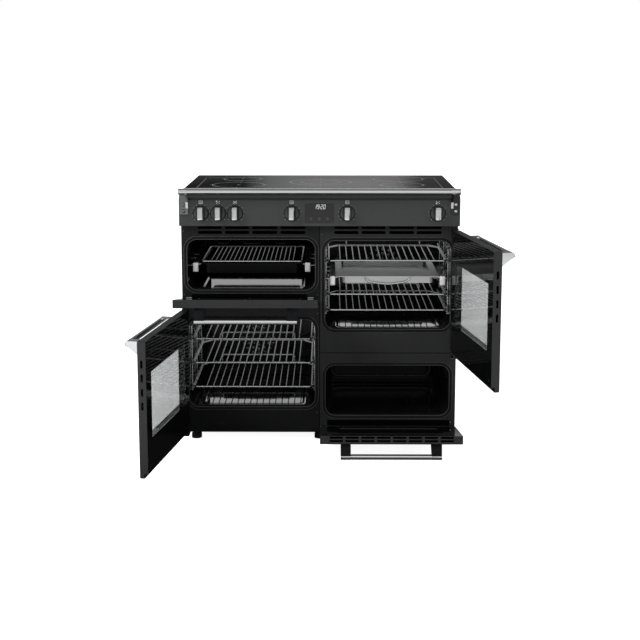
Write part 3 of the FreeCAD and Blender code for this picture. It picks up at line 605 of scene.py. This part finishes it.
for i, x in enumerate(KNOB_X):
    body = "knob_%d" % (i + 1)
    bm = bmesh.new()                           # skirt ring and black tapered grip
    lathe(bm, (x, 0, KZ), (0, -1, 0), [
        (27.3, 3.6), (27.3, 28.1), (28.0, 28.4), (31.0, 28.4), (31.8, 28.0), (32.4, 27.4),
        (33.4, 26.7), (33.9, 26.3), (34.0, 25.7), (33.9, 25.2), (33.3, 24.9), (33.2, 3.6)], 72)
    rings = []
    for t, hw, hh in ((33.0, 14.8, 24.1), (34.0, 14.9, 24.2), (38.0, 15.3, 24.4),
                      (46.0, 14.9, 24.1), (52.0, 14.3, 23.8), (54.6, 13.7, 23.4),
                      (55.6, 12.9, 22.9), (55.9, 11.8, 22.2)):
        rings.append([(x + px, -t, KZ + 0.5 + pz)
                      for px, pz in rounded_path(-hw, hw, -hh, hh, min(9.0, hw * 0.62), 7)])
    loft(bm, rings)
    skirt = keep("knob_skirt_%d" % (i + 1), bm, "gloss", body)
    bm = bmesh.new()                           # disc inside the ring, in the fascia colour
    lathe(bm, (x, 0, KZ), (0, -1, 0), [
        (32.8, 3.6), (32.8, 24.5), (33.5, 24.6), (33.9, 24.3), (34.1, 23.7), (34.2, 12.0),
        (34.2, 3.6)], 64)
    keep("knob_disc_%d" % (i + 1), bm, "disc", body)
    bm = bmesh.new()                           # bright face, crowned across its width
    rings, n = [], 14
    for k in range(25):
        v = math.sin(math.pi * (k / 24 - 0.5))
        end = max(0.0, 1.0 - abs(v) ** 18) ** 0.5
        w = 10.4 * (0.62 + 0.38 * end)
        top = 1.2 + 4.4 * (0.30 + 0.70 * end)
        z = KZ + 0.5 + 22.9 * v
        ring = []
        for a in range(n + 1):
            u = -1.0 + 2.0 * a / n
            ring.append((x + w * u, -(55.2 + top * max(0.0, 1.0 - u * u) ** 0.5), z))
        ring += [(x + w, -54.0, z), (x - w, -54.0, z)]
        rings.append(ring)
    loft(bm, rings)
    keep("knob_face_%d" % (i + 1), bm, "chrome", body)
    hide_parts("knob_%d" % (i + 1))

# printed marks round the knobs
bm = bmesh.new()
YF = -27.0


def dot(bm, x, z, r, y=YF, seg=16):
    rows = []
    for yy in (y, y - 0.12):
        rows.append([bm.verts.new((x + r * math.cos(2 * math.pi * k / seg), yy,
                                   z + r * math.sin(2 * math.pi * k / seg)))
                     for k in range(seg)])
    for k in range(seg):
        j = (k + 1) % seg
        bm.faces.new([rows[0][k], rows[0][j], rows[1][j], rows[1][k]])
    bm.faces.new(rows[1])
    bm.faces.new(list(reversed(rows[0])))


def bar(bm, x0, x1, z0, z1, y=YF, h=0.12):
    add_box(bm, x0, x1, y - h, y, z0, z1)


for i, x in enumerate(KNOB_X):
    for k in range(11):                       # dial ticks
        t = math.radians(-135 + 27 * k)
        a, b = 31.0, (33.6 if k % 5 == 0 else 32.4)
        dx, dz = math.sin(t), math.cos(t)
        tmp = bmesh.new()
        add_box(tmp, -0.5, 0.5, -0.12, 0.0, a, b)
        bmesh.ops.transform(tmp, verts=tmp.verts, matrix=Matrix.Translation((x, YF, KZ))
                            @ Matrix.Rotation(t, 4, "Y"))
        join(bm, tmp)
    ix, iz = x, KZ + 39.0
    if i in (0, 3, 4):                        # oven symbol: box with three short bars
        for q in ((ix - 7, ix + 7, iz - 5.6, iz - 4.2), (ix - 7, ix + 7, iz + 4.2, iz + 5.6),
                  (ix - 7, ix - 5.6, iz - 5, iz + 5), (ix + 5.6, ix + 7, iz - 5, iz + 5)):
            bar(bm, *q)
        for k in (-2.8, 0, 2.8):
            bar(bm, ix + k - 0.6, ix + k + 0.6, iz - 2.2, iz + 2.2)
    else:                                     # hob symbol: five zones, one filled
        for k, (dx, dz) in enumerate(((-3.6, -2.6), (-3.6, 2.6), (0, 0), (3.6, 2.6),
                                      (3.6, -2.6))):
            dot(bm, ix + dx * 1.4, iz + dz * 1.3, 2.6 if k == i % 5 else 1.6)
keep("fascia_print", bm, "ink", "chassis", smooth=False)

# ------------------------------------------------------------- clock display
bm = bmesh.new()
SEG = {"0": "abcdef", "1": "bc", "2": "abged", "9": "abcdfg", "5": "afgcd", "3": "abgcd"}


def digit(bm, ch, x, z, w, h, t, y, lean=0.13):
    d = {"a": (x, x + w, z + h - t, z + h), "g": (x, x + w, z + h / 2 - t / 2, z + h / 2 + t / 2),
         "d": (x, x + w, z, z + t), "f": (x, x + t, z + h / 2, z + h),
         "b": (x + w - t, x + w, z + h / 2, z + h), "e": (x, x + t, z, z + h / 2),
         "c": (x + w - t, x + w, z, z + h / 2)}
    for s in SEG[ch]:
        q = d[s]
        g = 0.25
        tmp = bmesh.new()
        add_box(tmp, q[0] + g, q[1] - g, y - 0.15, y, q[2] + g, q[3] - g)
        for p in tmp.verts:
            p.co.x += (p.co.z - z) * lean
        join(bm, tmp)


YG = -27.8
for k, ch in enumerate("19"):
    digit(bm, ch, -19.0 + 9.6 * k, 865.0, 7.2, 16.0, 1.35, YG)
for k, ch in enumerate("20"):
    digit(bm, ch, 3.4 + 9.6 * k, 865.0, 7.2, 16.0, 1.35, YG)
for zz in (869.0, 875.5):
    add_box(bm, 0.0, 1.6, YG - 0.15, YG, zz, zz + 1.6)
keep("clock_digits", bm, "digits", "chassis", smooth=False)
bm = bmesh.new()
for cx in (-29.6, 28.8):
    for a in range(3):
        add_box(bm, cx - 4, cx + 4, YG - 0.12, YG, 826.4 + 2.9 * a, 827.5 + 2.9 * a)
tmp = bmesh.new()
frame_band(tmp, rounded_path(-4.2, 4.2, -4.2, 4.2, 4.1, 6), rounded_path(-3.2, 3.2, -3.2, 3.2, 3.1, 6),
           lambda a, b: (a, YG, 829.8 + b), lambda a, b: (a, YG - 0.12, 829.8 + b))
join(bm, tmp)
add_box(bm, -0.5, 0.5, YG - 0.12, YG, 829.4, 833.0)
add_box(bm, 0.0, 2.6, YG - 0.12, YG, 829.3, 830.3)
keep("clock_icons", bm, "dimink", "chassis", smooth=False)

# slim frame round the clock glass, in black moulding
bm = bmesh.new()
frame_band(bm, rounded_path(-51.9, 51.9, -35.1, 35.1, 4.6), rounded_path(-50.7, 50.7, -33.9, 33.9, 3.6),
           lambda a, b: (a, -26.6, 850 + b), lambda a, b: (a, -28.1, 850 + b))
keep("clock_bezel", bm, "black", "chassis")

# ------------------------------------------------------------------ hob print
bm = bmesh.new()
ZT = 931.0
for cx, cy, r in ((-301, 170, 97), (-301, 395, 72), (3, 270, 116), (305, 170, 80),
                  (303, 395, 97)):
    ring_band(bm, cx, cy, ZT, r - 0.9, r + 0.9)
    if r > 100:
        ring_band(bm, cx, cy, ZT, 74.0, 75.2)
    for a in (0, 90, 180, 270):
        t = math.radians(a)
        tmp = bmesh.new()
        add_box(tmp, r - 9, r + 9, -1.1, 1.1, 0, 0.13)
        bmesh.ops.transform(tmp, verts=tmp.verts, matrix=Matrix.Translation((cx, cy, ZT))
                            @ Matrix.Rotation(t, 4, "Z"))
        join(bm, tmp)
    tmp = bmesh.new()
    add_box(tmp, cx - 7, cx + 7, cy - 1.0, cy + 1.0, ZT, ZT + 0.13)
    add_box(tmp, cx - 1.0, cx + 1.0, cy - 7, cy + 7, ZT, ZT + 0.13)
    join(bm, tmp)
keep("hob_zone_print", bm, "hobink", "chassis", smooth=False)
# grey line round the hob's inner glass field: painted highlight standing in for the light on its edge
# bevel
bm = bmesh.new()
frame_band(bm, rounded_path(-447, 447, 52, 440, 10), rounded_path(-443.5, 443.5, 55.5, 436.5, 7),
           lambda a, b: (a, b, ZT - 0.1), lambda a, b: (a, b, ZT + 0.35))
keep("hob_edge_painted_highlight", bm, "edge_highlight", "chassis")

bm = bmesh.new()                               # bright strip that guards the glass's front edge
sect = [(30.6, 925.6), (27.4, 925.6), (26.8, 926.4), (26.7, 932.0), (27.2, 933.0), (28.2, 933.4),
        (29.8, 933.2), (30.8, 932.2), (31.6, 931.3), (30.7, 931.0)]
loft(bm, [[(x, a, b) for a, b in sect] for x in
          [-489.0] + [-480.0 + 96.0 * k for k in range(11)] + [489.0]])
keep("hob_front_strip", bm, "bright", "chassis")

# bright bow on the front of the pan
bm = bmesh.new()
PX, PZ = 246.5, 612.0
way = [(-83.0, -4.0), (-81.0, -9.5), (-76.0, -13.4), (-66.0, -19.8), (-44.0, -23.4),
       (-22.0, -26.3), (0.0, -28.6), (22.0, -26.3), (44.0, -23.4), (66.0, -19.8),
       (76.0, -13.4), (81.0, -9.5), (83.0, -4.0)]
rings = []
for k, (a, b) in enumerate(way):
    p, q = way[max(k - 1, 0)], way[min(k + 1, len(way) - 1)]
    t = Vector((q[0] - p[0], 0, q[1] - p[1])).normalized()
    u, v = Vector((t.z, 0, -t.x)), Vector((0, 1, 0))
    c = Vector((PX + a, 28.5, PZ + b))
    rings.append([tuple(c + 3.3 * (math.cos(w) * u + math.sin(w) * v))
                  for w in (2 * math.pi * i / 14 for i in range(14))])
loft(bm, rings)
keep("pan_right_bow", bm, "chrome", "pan_right")

# ----------------------------------------------- white end blocks of the runners
for tag, wall, inward, z in (("a", -476.0, 1, 661.0), ("b", -16.0, -1, 661.0),
                             ("c", 20.0, 1, 612.0), ("d", 473.0, -1, 612.0)):
    x0, x1 = sorted((wall + inward * 17.4, wall + inward * 36.4))
    bm = bmesh.new()
    add_box(bm, x0, x1, 21.2, 41.0, z - 31.6, z + 0.4, 2.4, 3)
    add_box(bm, x0 + 3.4, x1 - 3.4, 20.4, 21.6, z - 27.5, z - 3.5, 0.5, 1)
    # caps a and b in the grill oven take the darker copy of the white moulding: painted shade
    keep("runner_cap_" + tag, bm, "white_painted_shade" if tag in "ab" else "white", "chassis")


# ------------------------------------- gaskets, pressed floors, vent baffles
CAVITY = {"grill": (-476.0, -16.0, 567.0, 751.0), "left": (-476.0, -16.0, 132.0, 459.0),
          "right": (20.0, 473.0, 423.0, 747.0), "slow": (22.0, 473.0, 100.0, 288.0)}
RC = 36.0


def contour(o, d, seg=12):
    return rounded_path(o[0] - d, o[1] + d, o[2] - d, o[3] + d, RC + d, seg)


def swept_band(bm, section, o):
    """Closed section of (offset from the opening, y) points carried round the opening."""
    rows = [[bm.verts.new((a, y, b)) for a, b in contour(o, d)] for d, y in section]
    m, n = len(rows), len(rows[0])
    for i in range(m):
        p, q = rows[i], rows[(i + 1) % m]
        for k in range(n):
            j = (k + 1) % n
            bm.faces.new([p[k], p[j], q[j], q[k]])


bm = bmesh.new()                               # round cord gaskets on the front frame
for o in CAVITY.values():
    sec = [(6.9 + 3.3 * math.cos(t), -0.3 - 2.1 * math.sin(t))
           for t in (math.pi * k / 10 for k in range(11))]
    swept_band(bm, sec + [(3.7, 0.3), (10.1, 0.3)], o)
gasket = keep("door_gaskets", bm, "gasket", "chassis")
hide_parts("door_seals")
bm = bmesh.new()                               # near-black channel under each gasket: painted shade between gasket, rim and lip
for o in CAVITY.values():
    swept_band(bm, [(2.7, 0.4), (2.7, -0.22), (13.2, -0.22), (13.4, 0.0), (13.4, 0.4)], o)
keep("gasket_channels_painted_shade", bm, "shade_fill", "chassis")
bm = bmesh.new()                               # folded rim that holds each gasket, in a grey that paints its highlight
for o in CAVITY.values():
    swept_band(bm, [(10.9, 0.3), (10.9, -0.8), (11.4, -1.3), (12.2, -1.3), (12.8, -0.8),
                    (12.8, 0.3)], o)
keep("gasket_rims", bm, "rim", "chassis")
bm = bmesh.new()                               # near-black strips under the drop-door ovens: painted shade in the gap between each opening and its lowered door
for x0, x1, z0, z1 in ((-463.0, -45.0, 533.0, 552.0), (28.0, 478.0, 60.0, 82.0)):
    loft(bm, [[(a, y, b) for a, b in rounded_path(x0 + d, x1 - d, z0 + d, z1 - d, 5.0 - d, 5)]
              for d, y in ((0.0, 0.3), (0.0, -0.3), (0.35, -0.55), (1.2, -0.6))])
keep("door_sills_painted_shade", bm, "shade_fill", "chassis")
bm = bmesh.new()                               # turned lip of each enamelled liner, in lighter enamel: painted highlight
for o in CAVITY.values():
    swept_band(bm, [(-0.4, 1.6), (-0.4, -0.3), (-0.1, -0.9), (0.5, -1.2), (1.6, -1.2),
                    (2.3, -0.8), (2.6, -0.1), (2.6, 0.4)], o)
keep("liner_lips", bm, "lip", "chassis")


def floor_press(bm, o, m0, m1):
    """Raised margin round the pressed field of a compartment floor."""
    z = o[2]
    x0, x1, y0, y1 = o[0] + 21.0, o[1] - 21.0, 5.0, 439.0
    fx0, fx1, fy0, fy1 = o[0] + m0, o[1] - m1, 40.0, 386.0
    spec = [((x0, x1, y0, y1), 2.0, z - 0.3), ((x0, x1, y0, y1), 2.0, z + 0.4),
            ((x0 + 2, x1 - 2, y0 + 4, y1), 4.0, z + 2.6), ((x0 + 3, x1 - 3, y0 + 6, y1 - 1), 5.0, z + 2.9),
            ((fx0 - 6.5, fx1 + 6.5, fy0 - 6.5, fy1 + 6.5), 26.0, z + 2.9),
            ((fx0 - 5.0, fx1 + 5.0, fy0 - 5.0, fy1 + 5.0), 25.0, z + 2.6),
            ((fx0 - 1.0, fx1 + 1.0, fy0 - 1.0, fy1 + 1.0), 21.0, z + 0.4),
            ((fx0 + 0.5, fx1 - 0.5, fy0 + 0.5, fy1 - 0.5), 20.0, z + 0.05),
            ((fx0 + 0.5, fx1 - 0.5, fy0 + 0.5, fy1 - 0.5), 20.0, z - 0.3)]
    rows = [[bm.verts.new((a, b, h)) for a, b in rounded_path(*q, r, 8)] for q, r, h in spec]
    m, n = len(rows), len(rows[0])
    for i in range(m):
        p, q = rows[i], rows[(i + 1) % m]
        for k in range(n):
            j = (k + 1) % n
            bm.faces.new([p[k], p[j], q[j], q[k]])


bm = bmesh.new()
floor_press(bm, CAVITY["grill"], 56.0, 46.0)
floor_press(bm, CAVITY["left"], 58.0, 46.0)
floor_press(bm, CAVITY["right"], 48.0, 46.0)
floor_press(bm, CAVITY["slow"], 30.0, 38.0)
keep("floor_pressings", bm, "press", "chassis")
bm = bmesh.new()                               # smooth field inside each raised margin
for tag, m0, m1 in (("grill", 56.0, 46.0), ("left", 58.0, 46.0), ("right", 48.0, 46.0),
                    ("slow", 30.0, 38.0)):
    o = CAVITY[tag]
    loft(bm, [[(a, b, o[2] + h) for a, b in rounded_path(o[0] + m0 + d, o[1] - m1 - d, 40.0 + d,
                                                         386.0 - d, 21.0 - d, 8)]
              for d, h in ((0.2, -0.3), (0.2, 0.12), (0.5, 0.26), (1.2, 0.30), (6.0, 0.32))])
keep("floor_fields", bm, "press", "chassis")

# rounded bead pressed round the field in the slow oven's rear wall, in the lighter lip enamel: painted
# highlight
bm = bmesh.new()
o = CAVITY["slow"]
sec = [(4.5 * math.cos(t), 440.4 - 2.6 * math.sin(t)) for t in (math.pi * k / 8 for k in range(9))]
rows = []
for d, y in sec + [(-4.5, 441.0), (4.5, 441.0)]:
    rows.append([bm.verts.new((a, y, b)) for a, b in rounded_path(
        o[0] + 24 - d, o[1] - 32 + d, o[2] + 30 - d, o[3] - 26 + d, 28 + d, 10)])
for p, q in zip(rows, rows[1:] + rows[:1]):
    for k in range(len(p)):
        j = (k + 1) % len(p)
        bm.faces.new([p[k], p[j], q[j], q[k]])
keep("slow_rear_bead", bm, "lip", "chassis")

# folded baffles behind the vent slots and behind the joint of the front panels, near-black: painted shade
# inside the slots and the joint
bm = bmesh.new()


def baffle(bm, x0, x1, z0, z1, depth=13.0, t=0.8, y0=2.6):
    add_box(bm, x0, x1, y0 + depth, y0 + depth + t, z0, z1, 0.2, 1)
    add_box(bm, x0, x1, y0, y0 + depth, z0, z0 + t, 0.2, 1)
    add_box(bm, x0, x1, y0, y0 + depth, z1 - t, z1, 0.2, 1)
    add_box(bm, x0, x0 + t, y0, y0 + depth, z0, z1, 0.2, 1)
    add_box(bm, x1 - t, x1, y0, y0 + depth, z0, z1, 0.2, 1)


baffle(bm, -486.0, -10.0, 767.0, 803.0)
baffle(bm, 12.0, 486.0, 767.0, 803.0)
baffle(bm, -7.0, 9.0, 50.0, 903.0, 9.0)
keep("vent_baffles_painted_shade", bm, "shade_fill", "chassis", smooth=False)


# ------------------------------------------------------------ screws, latches
def screw(bm, centre, axis, r=4.2, h=2.0):
    """Pan-head screw with a cross recess."""
    prof = [(0.0, r), (h * 0.35, r), (h * 0.7, r * 0.9), (h * 0.92, r * 0.68),
            (h, r * 0.42), (h * 0.98, r * 0.2), (h * 0.55, r * 0.12), (h * 0.55, 0.0)]
    lathe(bm, centre, axis, prof, 20)
    a = Vector(axis).normalized()
    u = a.orthogonal().normalized()
    v = a.cross(u)
    c = Vector(centre) + a * (h * 0.995)
    for p, q in ((u, v), (v, u)):
        pts = [c + p * (r * 0.5) * i + q * (r * 0.09) * j + a * 0.03
               for i, j in ((-1, -1), (1, -1), (1, 1), (-1, 1))]
        low = [x - a * 0.3 for x in pts]
        vs = [bm.verts.new(x) for x in pts + low]
        bm.faces.new(vs[:4])
        for k in range(4):
            bm.faces.new([vs[k], vs[(k + 1) % 4], vs[4 + (k + 1) % 4], vs[4 + k]])


bm = bmesh.new()                               # chassis screws, sides and back
for s in (-1, 1):
    for y in (30.0, 200.0, 370.0, 530.0):
        for z in (58.0, 898.0):
            screw(bm, (s * 496.5, y, z), (s, 0, 0), 4.0, 1.8)
for x in (-480.0, -240.0, 0.0, 240.0, 480.0):
    for z in (58.0, 898.0):
        screw(bm, (x, 557.0, z), (0, 1, 0), 4.0, 1.8)
for z in (260.0, 480.0, 690.0):
    for x in (-486.0, 486.0):
        screw(bm, (x, 557.0, z), (0, 1, 0), 4.0, 1.8)
keep("chassis_screws", bm, "screw", "chassis")

bm = bmesh.new()                               # screws that hold front panels and liners
for x, z in ((-488, 548), (-8, 548), (486, 392), (486, 770), (8.6, 770),
             (-488, 782), (-488, 110), (-8, 110), (-8, 480)):
    screw(bm, (x, 0.0, z), (0, -1, 0), 3.2, 1.4)
keep("front_screws", bm, "screw", "chassis")

bm = bmesh.new()                               # polished hooks of the drop-door hinges
for x, z in ((-472.0, 538.0), (-32.0, 538.0)):
    add_box(bm, x - 10.5, x + 10.5, -2.4, 0.0, z - 2.6, z + 2.6, 0.8, 2)
add_box(bm, 478.0, 482.0, -2.8, -0.8, 71.0, 75.0, 0.6, 2)
keep("hinge_hooks", bm, "bright", "chassis")

SIDE, DROP = math.radians(99.6), math.radians(79.8)


def turn_side(sign):
    p = Vector((sign * 488.0, -16.0, 0))
    return Matrix.Translation(p) @ Matrix.Rotation(sign * SIDE, 4, "Z") @ Matrix.Translation(-p)


def turn_drop(z):
    p = Vector((0, -16.0, z))
    return Matrix.Translation(p) @ Matrix.Rotation(DROP, 4, "X") @ Matrix.Translation(-p)


for label, sign, z0, z1 in (("right", 1, 325.0, 787.0), ("left", -1, 32.0, 494.0)):
    bm = bmesh.new()
    for xx in (30.0, 250.0, 470.0):            # inner panel screws
        for zz in (z0 + 34, z1 - 18):
            screw(bm, (sign * xx, -3.0, zz), (0, 1, 0), 3.4, 1.2)
    keep("door_%s_screws" % label, bm, "screw", "door_" + label,
         matrix=turn_side(sign))
for label, x0, z0 in (("grill", -497.0, 511.0), ("slow", 3.0, 34.0)):
    bm = bmesh.new()
    for xx in (x0 + 64, x0 + 247, x0 + 430):
        for zz in (z0 + 30, z0 + 258 if label == "grill" else z0 + 276):
            screw(bm, (xx, -3.0, zz), (0, 1, 0), 3.4, 1.2)
    keep("door_%s_screws" % label, bm, "screw", "door_" + label,
         matrix=turn_drop(z0 + 15.0))

# grip sleeves between the collars of the four handles, slightly crowned and chamfered
GRIPS = (("right", 240.0, 766.0, 388.0, turn_side(1)),
         ("left", -240.0, 473.0, 388.0, turn_side(-1)),
         ("grill", -250.0, 765.0, 350.0, turn_drop(526.0)),
         ("slow", 250.0, 288.0, 350.0, turn_drop(49.0)))
for label, cx, zb, length, mat in GRIPS:
    bm = bmesh.new()
    half = length / 2 - 35.3
    prof = [(-half, 8.25), (-half, 8.9), (-half + 0.8, 9.35)]
    prof += [(-half + 4 + (2 * half - 8) * t / 8, 9.45) for t in range(9)]
    prof += [(half - 0.8, 9.35), (half, 8.9), (half, 8.25), (-half, 8.25)]
    lathe(bm, (cx, -78.0, zb), (1, 0, 0), prof, 48)
    keep("door_%s_grip" % label, bm, "chrome", "door_" + label, matrix=mat)

# ------------------------------------------------------------ stage and lights
fm = Mat("pale_floor", Specular_IOR_Level=0.1)
fg = fm.noise(3.0, 3, 0.5)
fray = fm.node("ShaderNodeLightPath").outputs
fcam = fm.math("MAXIMUM", fray["Is Camera Ray"], fray["Is Transmission Ray"])
fsep = fm.node("ShaderNodeSeparateXYZ")
fm.link(fm.tc.outputs["Object"], fsep.inputs[0])
back = fm.math("MULTIPLY", fm.math("MAXIMUM", fsep.outputs[1], 0.0), 0.35)
ahead = fm.math("MAXIMUM", fm.math("MULTIPLY", fsep.outputs[1], -1.0), back)
reach = fm.math("SQRT", fm.math("ADD", fm.math("POWER", fm.math("ABSOLUTE", fsep.outputs[0]), 2.0),
                                fm.math("POWER", ahead, 2.0)))
floor_painted_shade = fm.ramp(fm.math("MULTIPLY", reach, 0.2),    # floor painted darker close round the cooker for all but camera rays: painted shade seen in reflections
               [(0.13, 0.05), (0.23, 0.52), (0.55, 0.62), (0.95, 0.95)])
fm.color(fm.mix(fcam, floor_painted_shade,
                fm.mix(fg, (0.93, 0.93, 0.93), (0.95, 0.95, 0.95))))
fm.rough(fm.remap(fg, 0.3, 0.7, 0.7, 0.85))
fm.b.inputs["Emission Color"].default_value = (1, 1, 1, 1)
fm.link(fm.math("MULTIPLY", fcam, 0.92),
        fm.b.inputs["Emission Strength"])
me = bpy.data.meshes.new("floor")
me.from_pydata([(-60, -60, 0), (60, -60, 0), (60, 60, 0), (-60, 60, 0)], [], [(0, 1, 2, 3)])
me.materials.append(fm.m)
floor = bpy.data.objects.new("floor", me)
scene.collection.objects.link(floor)

# White studio. Above the horizon its walls hold a grey card low down behind the hob and a
# black one in front, as a tent with flags does; they only show in glossy surfaces.
world = bpy.data.worlds.new("studio")
scene.world = world
world.use_nodes = True
wt = world.node_tree
wt.nodes.clear()


def wnode(kind, *links, **props):
    n = wt.nodes.new(kind)
    for k, v in props.items():
        setattr(n, k, v)
    for sock, v in links:
        if isinstance(v, (int, float)):
            n.inputs[sock].default_value = v
        else:
            wt.links.new(v, n.inputs[sock])
    return n


def wramp(fac, stops):
    r = wnode("ShaderNodeValToRGB", (0, fac))
    e = r.color_ramp.elements
    while len(e) < len(stops):
        e.new(0.5)
    for el, (pos, c) in zip(e, stops):
        el.position = pos
        el.color = (c, c, c, 1)
    return r.outputs[0]


wdir = wnode("ShaderNodeTexCoord").outputs["Generated"]
wxyz = wnode("ShaderNodeSeparateXYZ", (0, wdir)).outputs
rise = wnode("ShaderNodeMapRange", (0, wxyz[2]), (1, -0.02), (2, 0.98)).outputs[0]
aim = wnode("ShaderNodeMapRange", (0, wxyz[1]), (1, -0.35), (2, 0.35)).outputs[0]
side = wnode("ShaderNodeMapRange", (0, wxyz[0]), (1, -0.20), (2, 0.20)).outputs[0]
front = wramp(rise, [(0.0, 0.05), (0.22, 0.06), (0.29, 1.0), (0.66, 1.0), (0.80, 0.28),
                     (1.0, 0.22)])
low = wramp(side, [(0.0, 0.015), (0.325, 0.015), (0.375, 0.19), (0.46, 0.27), (0.58, 0.29),
                   (0.64, 0.26), (0.695, 0.05), (1.0, 0.02)])
zone = wramp(rise, [(0.0, 0.0), (0.100, 0.0), (0.120, 1.0), (0.16, 1.0), (0.19, 0.0)])
upper = wramp(rise, [(0.0, 0.10), (0.06, 0.10), (0.21, 0.20), (0.6, 0.20), (1.0, 0.20)])
cards_rear = wnode("ShaderNodeMix", (0, zone), (6, upper), (7, low), data_type="RGBA").outputs[2]
soft = wnode("ShaderNodeLightPath").outputs["Is Diffuse Ray"]
rear = wnode("ShaderNodeMix", (0, soft), (6, cards_rear), data_type="RGBA")
rear.inputs[7].default_value = (0.5, 0.5, 0.5, 1)
rear = rear.outputs[2]
around = wnode("ShaderNodeMix", (0, aim), (6, front), (7, rear), data_type="RGBA").outputs[2]
plain = wnode("ShaderNodeBackground", (1, 1.0)).outputs[0]
wt.nodes[-1].inputs[0].default_value = (1, 1, 1, 1)
cards = wnode("ShaderNodeBackground", (0, around), (1, 1.0)).outputs[0]
wray = wnode("ShaderNodeLightPath").outputs
seen = wnode("ShaderNodeMath", (0, wray["Is Camera Ray"]), (1, wray["Is Transmission Ray"]),
             operation="MAXIMUM").outputs[0]
both = wnode("ShaderNodeMixShader", (0, seen), (1, cards), (2, plain)).outputs[0]
wnode("ShaderNodeOutputWorld", (0, both))


def area(name, loc, target, size, power, sy=None, hidden=False):
    li = bpy.data.lights.new(name, "AREA")
    li.shape = "RECTANGLE"
    li.size, li.size_y = size, sy or size
    li.energy = power
    ob = bpy.data.objects.new(name, li)
    ob.location = loc
    d = Vector(target) - Vector(loc)
    ob.rotation_mode = "QUATERNION"
    ob.rotation_quaternion = d.to_track_quat("-Z", "Y")
    scene.collection.objects.link(ob)
    if hidden:
        ob.visible_camera = False
    return ob


for lamp in (area("key", (-3.0, -2.6, 3.6), (0, 0, 0.5), 1.6, 200),
             area("fill", (3.0, -3.4, 2.4), (0, 0, 0.5), 2.4, 50)):
    lamp.visible_glossy = False                # soft boxes kept out of the bright metal


def receivers(label, names):
    """Group of pieces that a compartment's lights reach."""
    c = bpy.data.collections.new(label)
    for n in names:
        ob = N.get(n) or bpy.data.objects.get(n)
        c.objects.link(ob)
    return c


WIREWORK = receivers("lit_wirework", ["side_racks", "grid_grill", "pan_right",
                                      "runner_cap_a", "runner_cap_b", "runner_cap_c",
                                      "runner_cap_d", "pan_right_bow"]
                     + ["shelf_%s_%d" % (a, b) for a in ("left", "right") for b in (1, 2, 3)])
FLOORS = receivers("lit_floors", ["floor_pressings", "floor_fields"])


def inner_light(name, x0, x1, z0, z1, radiance, y=409.0, only=WIREWORK):
    """Soft panel at the rear of a compartment, facing the doorway."""
    w, h = (x1 - x0) * 0.001, (z1 - z0) * 0.001
    at = Vector(((x0 + x1) * 0.0005, y * 0.001 + SHIFT, (z0 + z1) * 0.0005))
    lamp = area(name, at, at + Vector((0, -1, 0)), w, radiance * math.pi * w * h, h, True)
    lamp.light_linking.receiver_collection = only
    if only is FLOORS:                         # shelves don't break up the floor's highlight
        lamp.light_linking.blocker_collection = only


def arched_light(name, x0, x1, z0, z1, crown, radiance, n=7):
    """Strip whose lower edge is arched, seen mirrored in the pressed floor."""
    for k in range(n):
        a, b = x0 + (x1 - x0) * k / n, x0 + (x1 - x0) * (k + 1) / n
        u = -1.0 + 2.0 * (k + 0.5) / n
        inner_light("%s_%d" % (name, k), a, b, z0 + crown * (1.0 - u * u) ** 0.5, z1,
                    radiance, 400.0, FLOORS)


inner_light("grill_strip", -430, -72, 602, 642, 0.80, 400.0, FLOORS)
inner_light("grill_panel", -450, -42, 664, 742, 0.20)
arched_light("right_strip", 66, 462, 482, 513, 17.0, 1.2)
inner_light("right_panel_low", 30, 463, 500, 592, 0.23)
inner_light("right_panel_mid", 30, 463, 600, 660, 0.30)
inner_light("right_panel_top", 30, 463, 670, 740, 0.32)
arched_light("left_strip", -442, -66, 210, 243, 12.0, 1.2)
inner_light("left_panel_low", -466, -26, 215, 330, 0.23)
inner_light("left_panel_top", -466, -26, 335, 452, 0.25)

scene.view_settings.view_transform = "Standard"
scene.view_settings.look = "None"

# --------------------------------------------------------------------- camera
cam = bpy.data.cameras.new("camera")
cam.sensor_width = 36.0
cam.lens = 66.449
cam.shift_y = -0.12
cam.clip_end = 100
co = bpy.data.objects.new("camera", cam)
scene.collection.objects.link(co)
co.location = (0.0292, -4.1907 + SHIFT, 1.3809)
pitch, yaw = math.radians(8.719), math.radians(-0.374)
co.rotation_euler = (math.radians(90) - pitch, 0, -yaw)
scene.camera = co
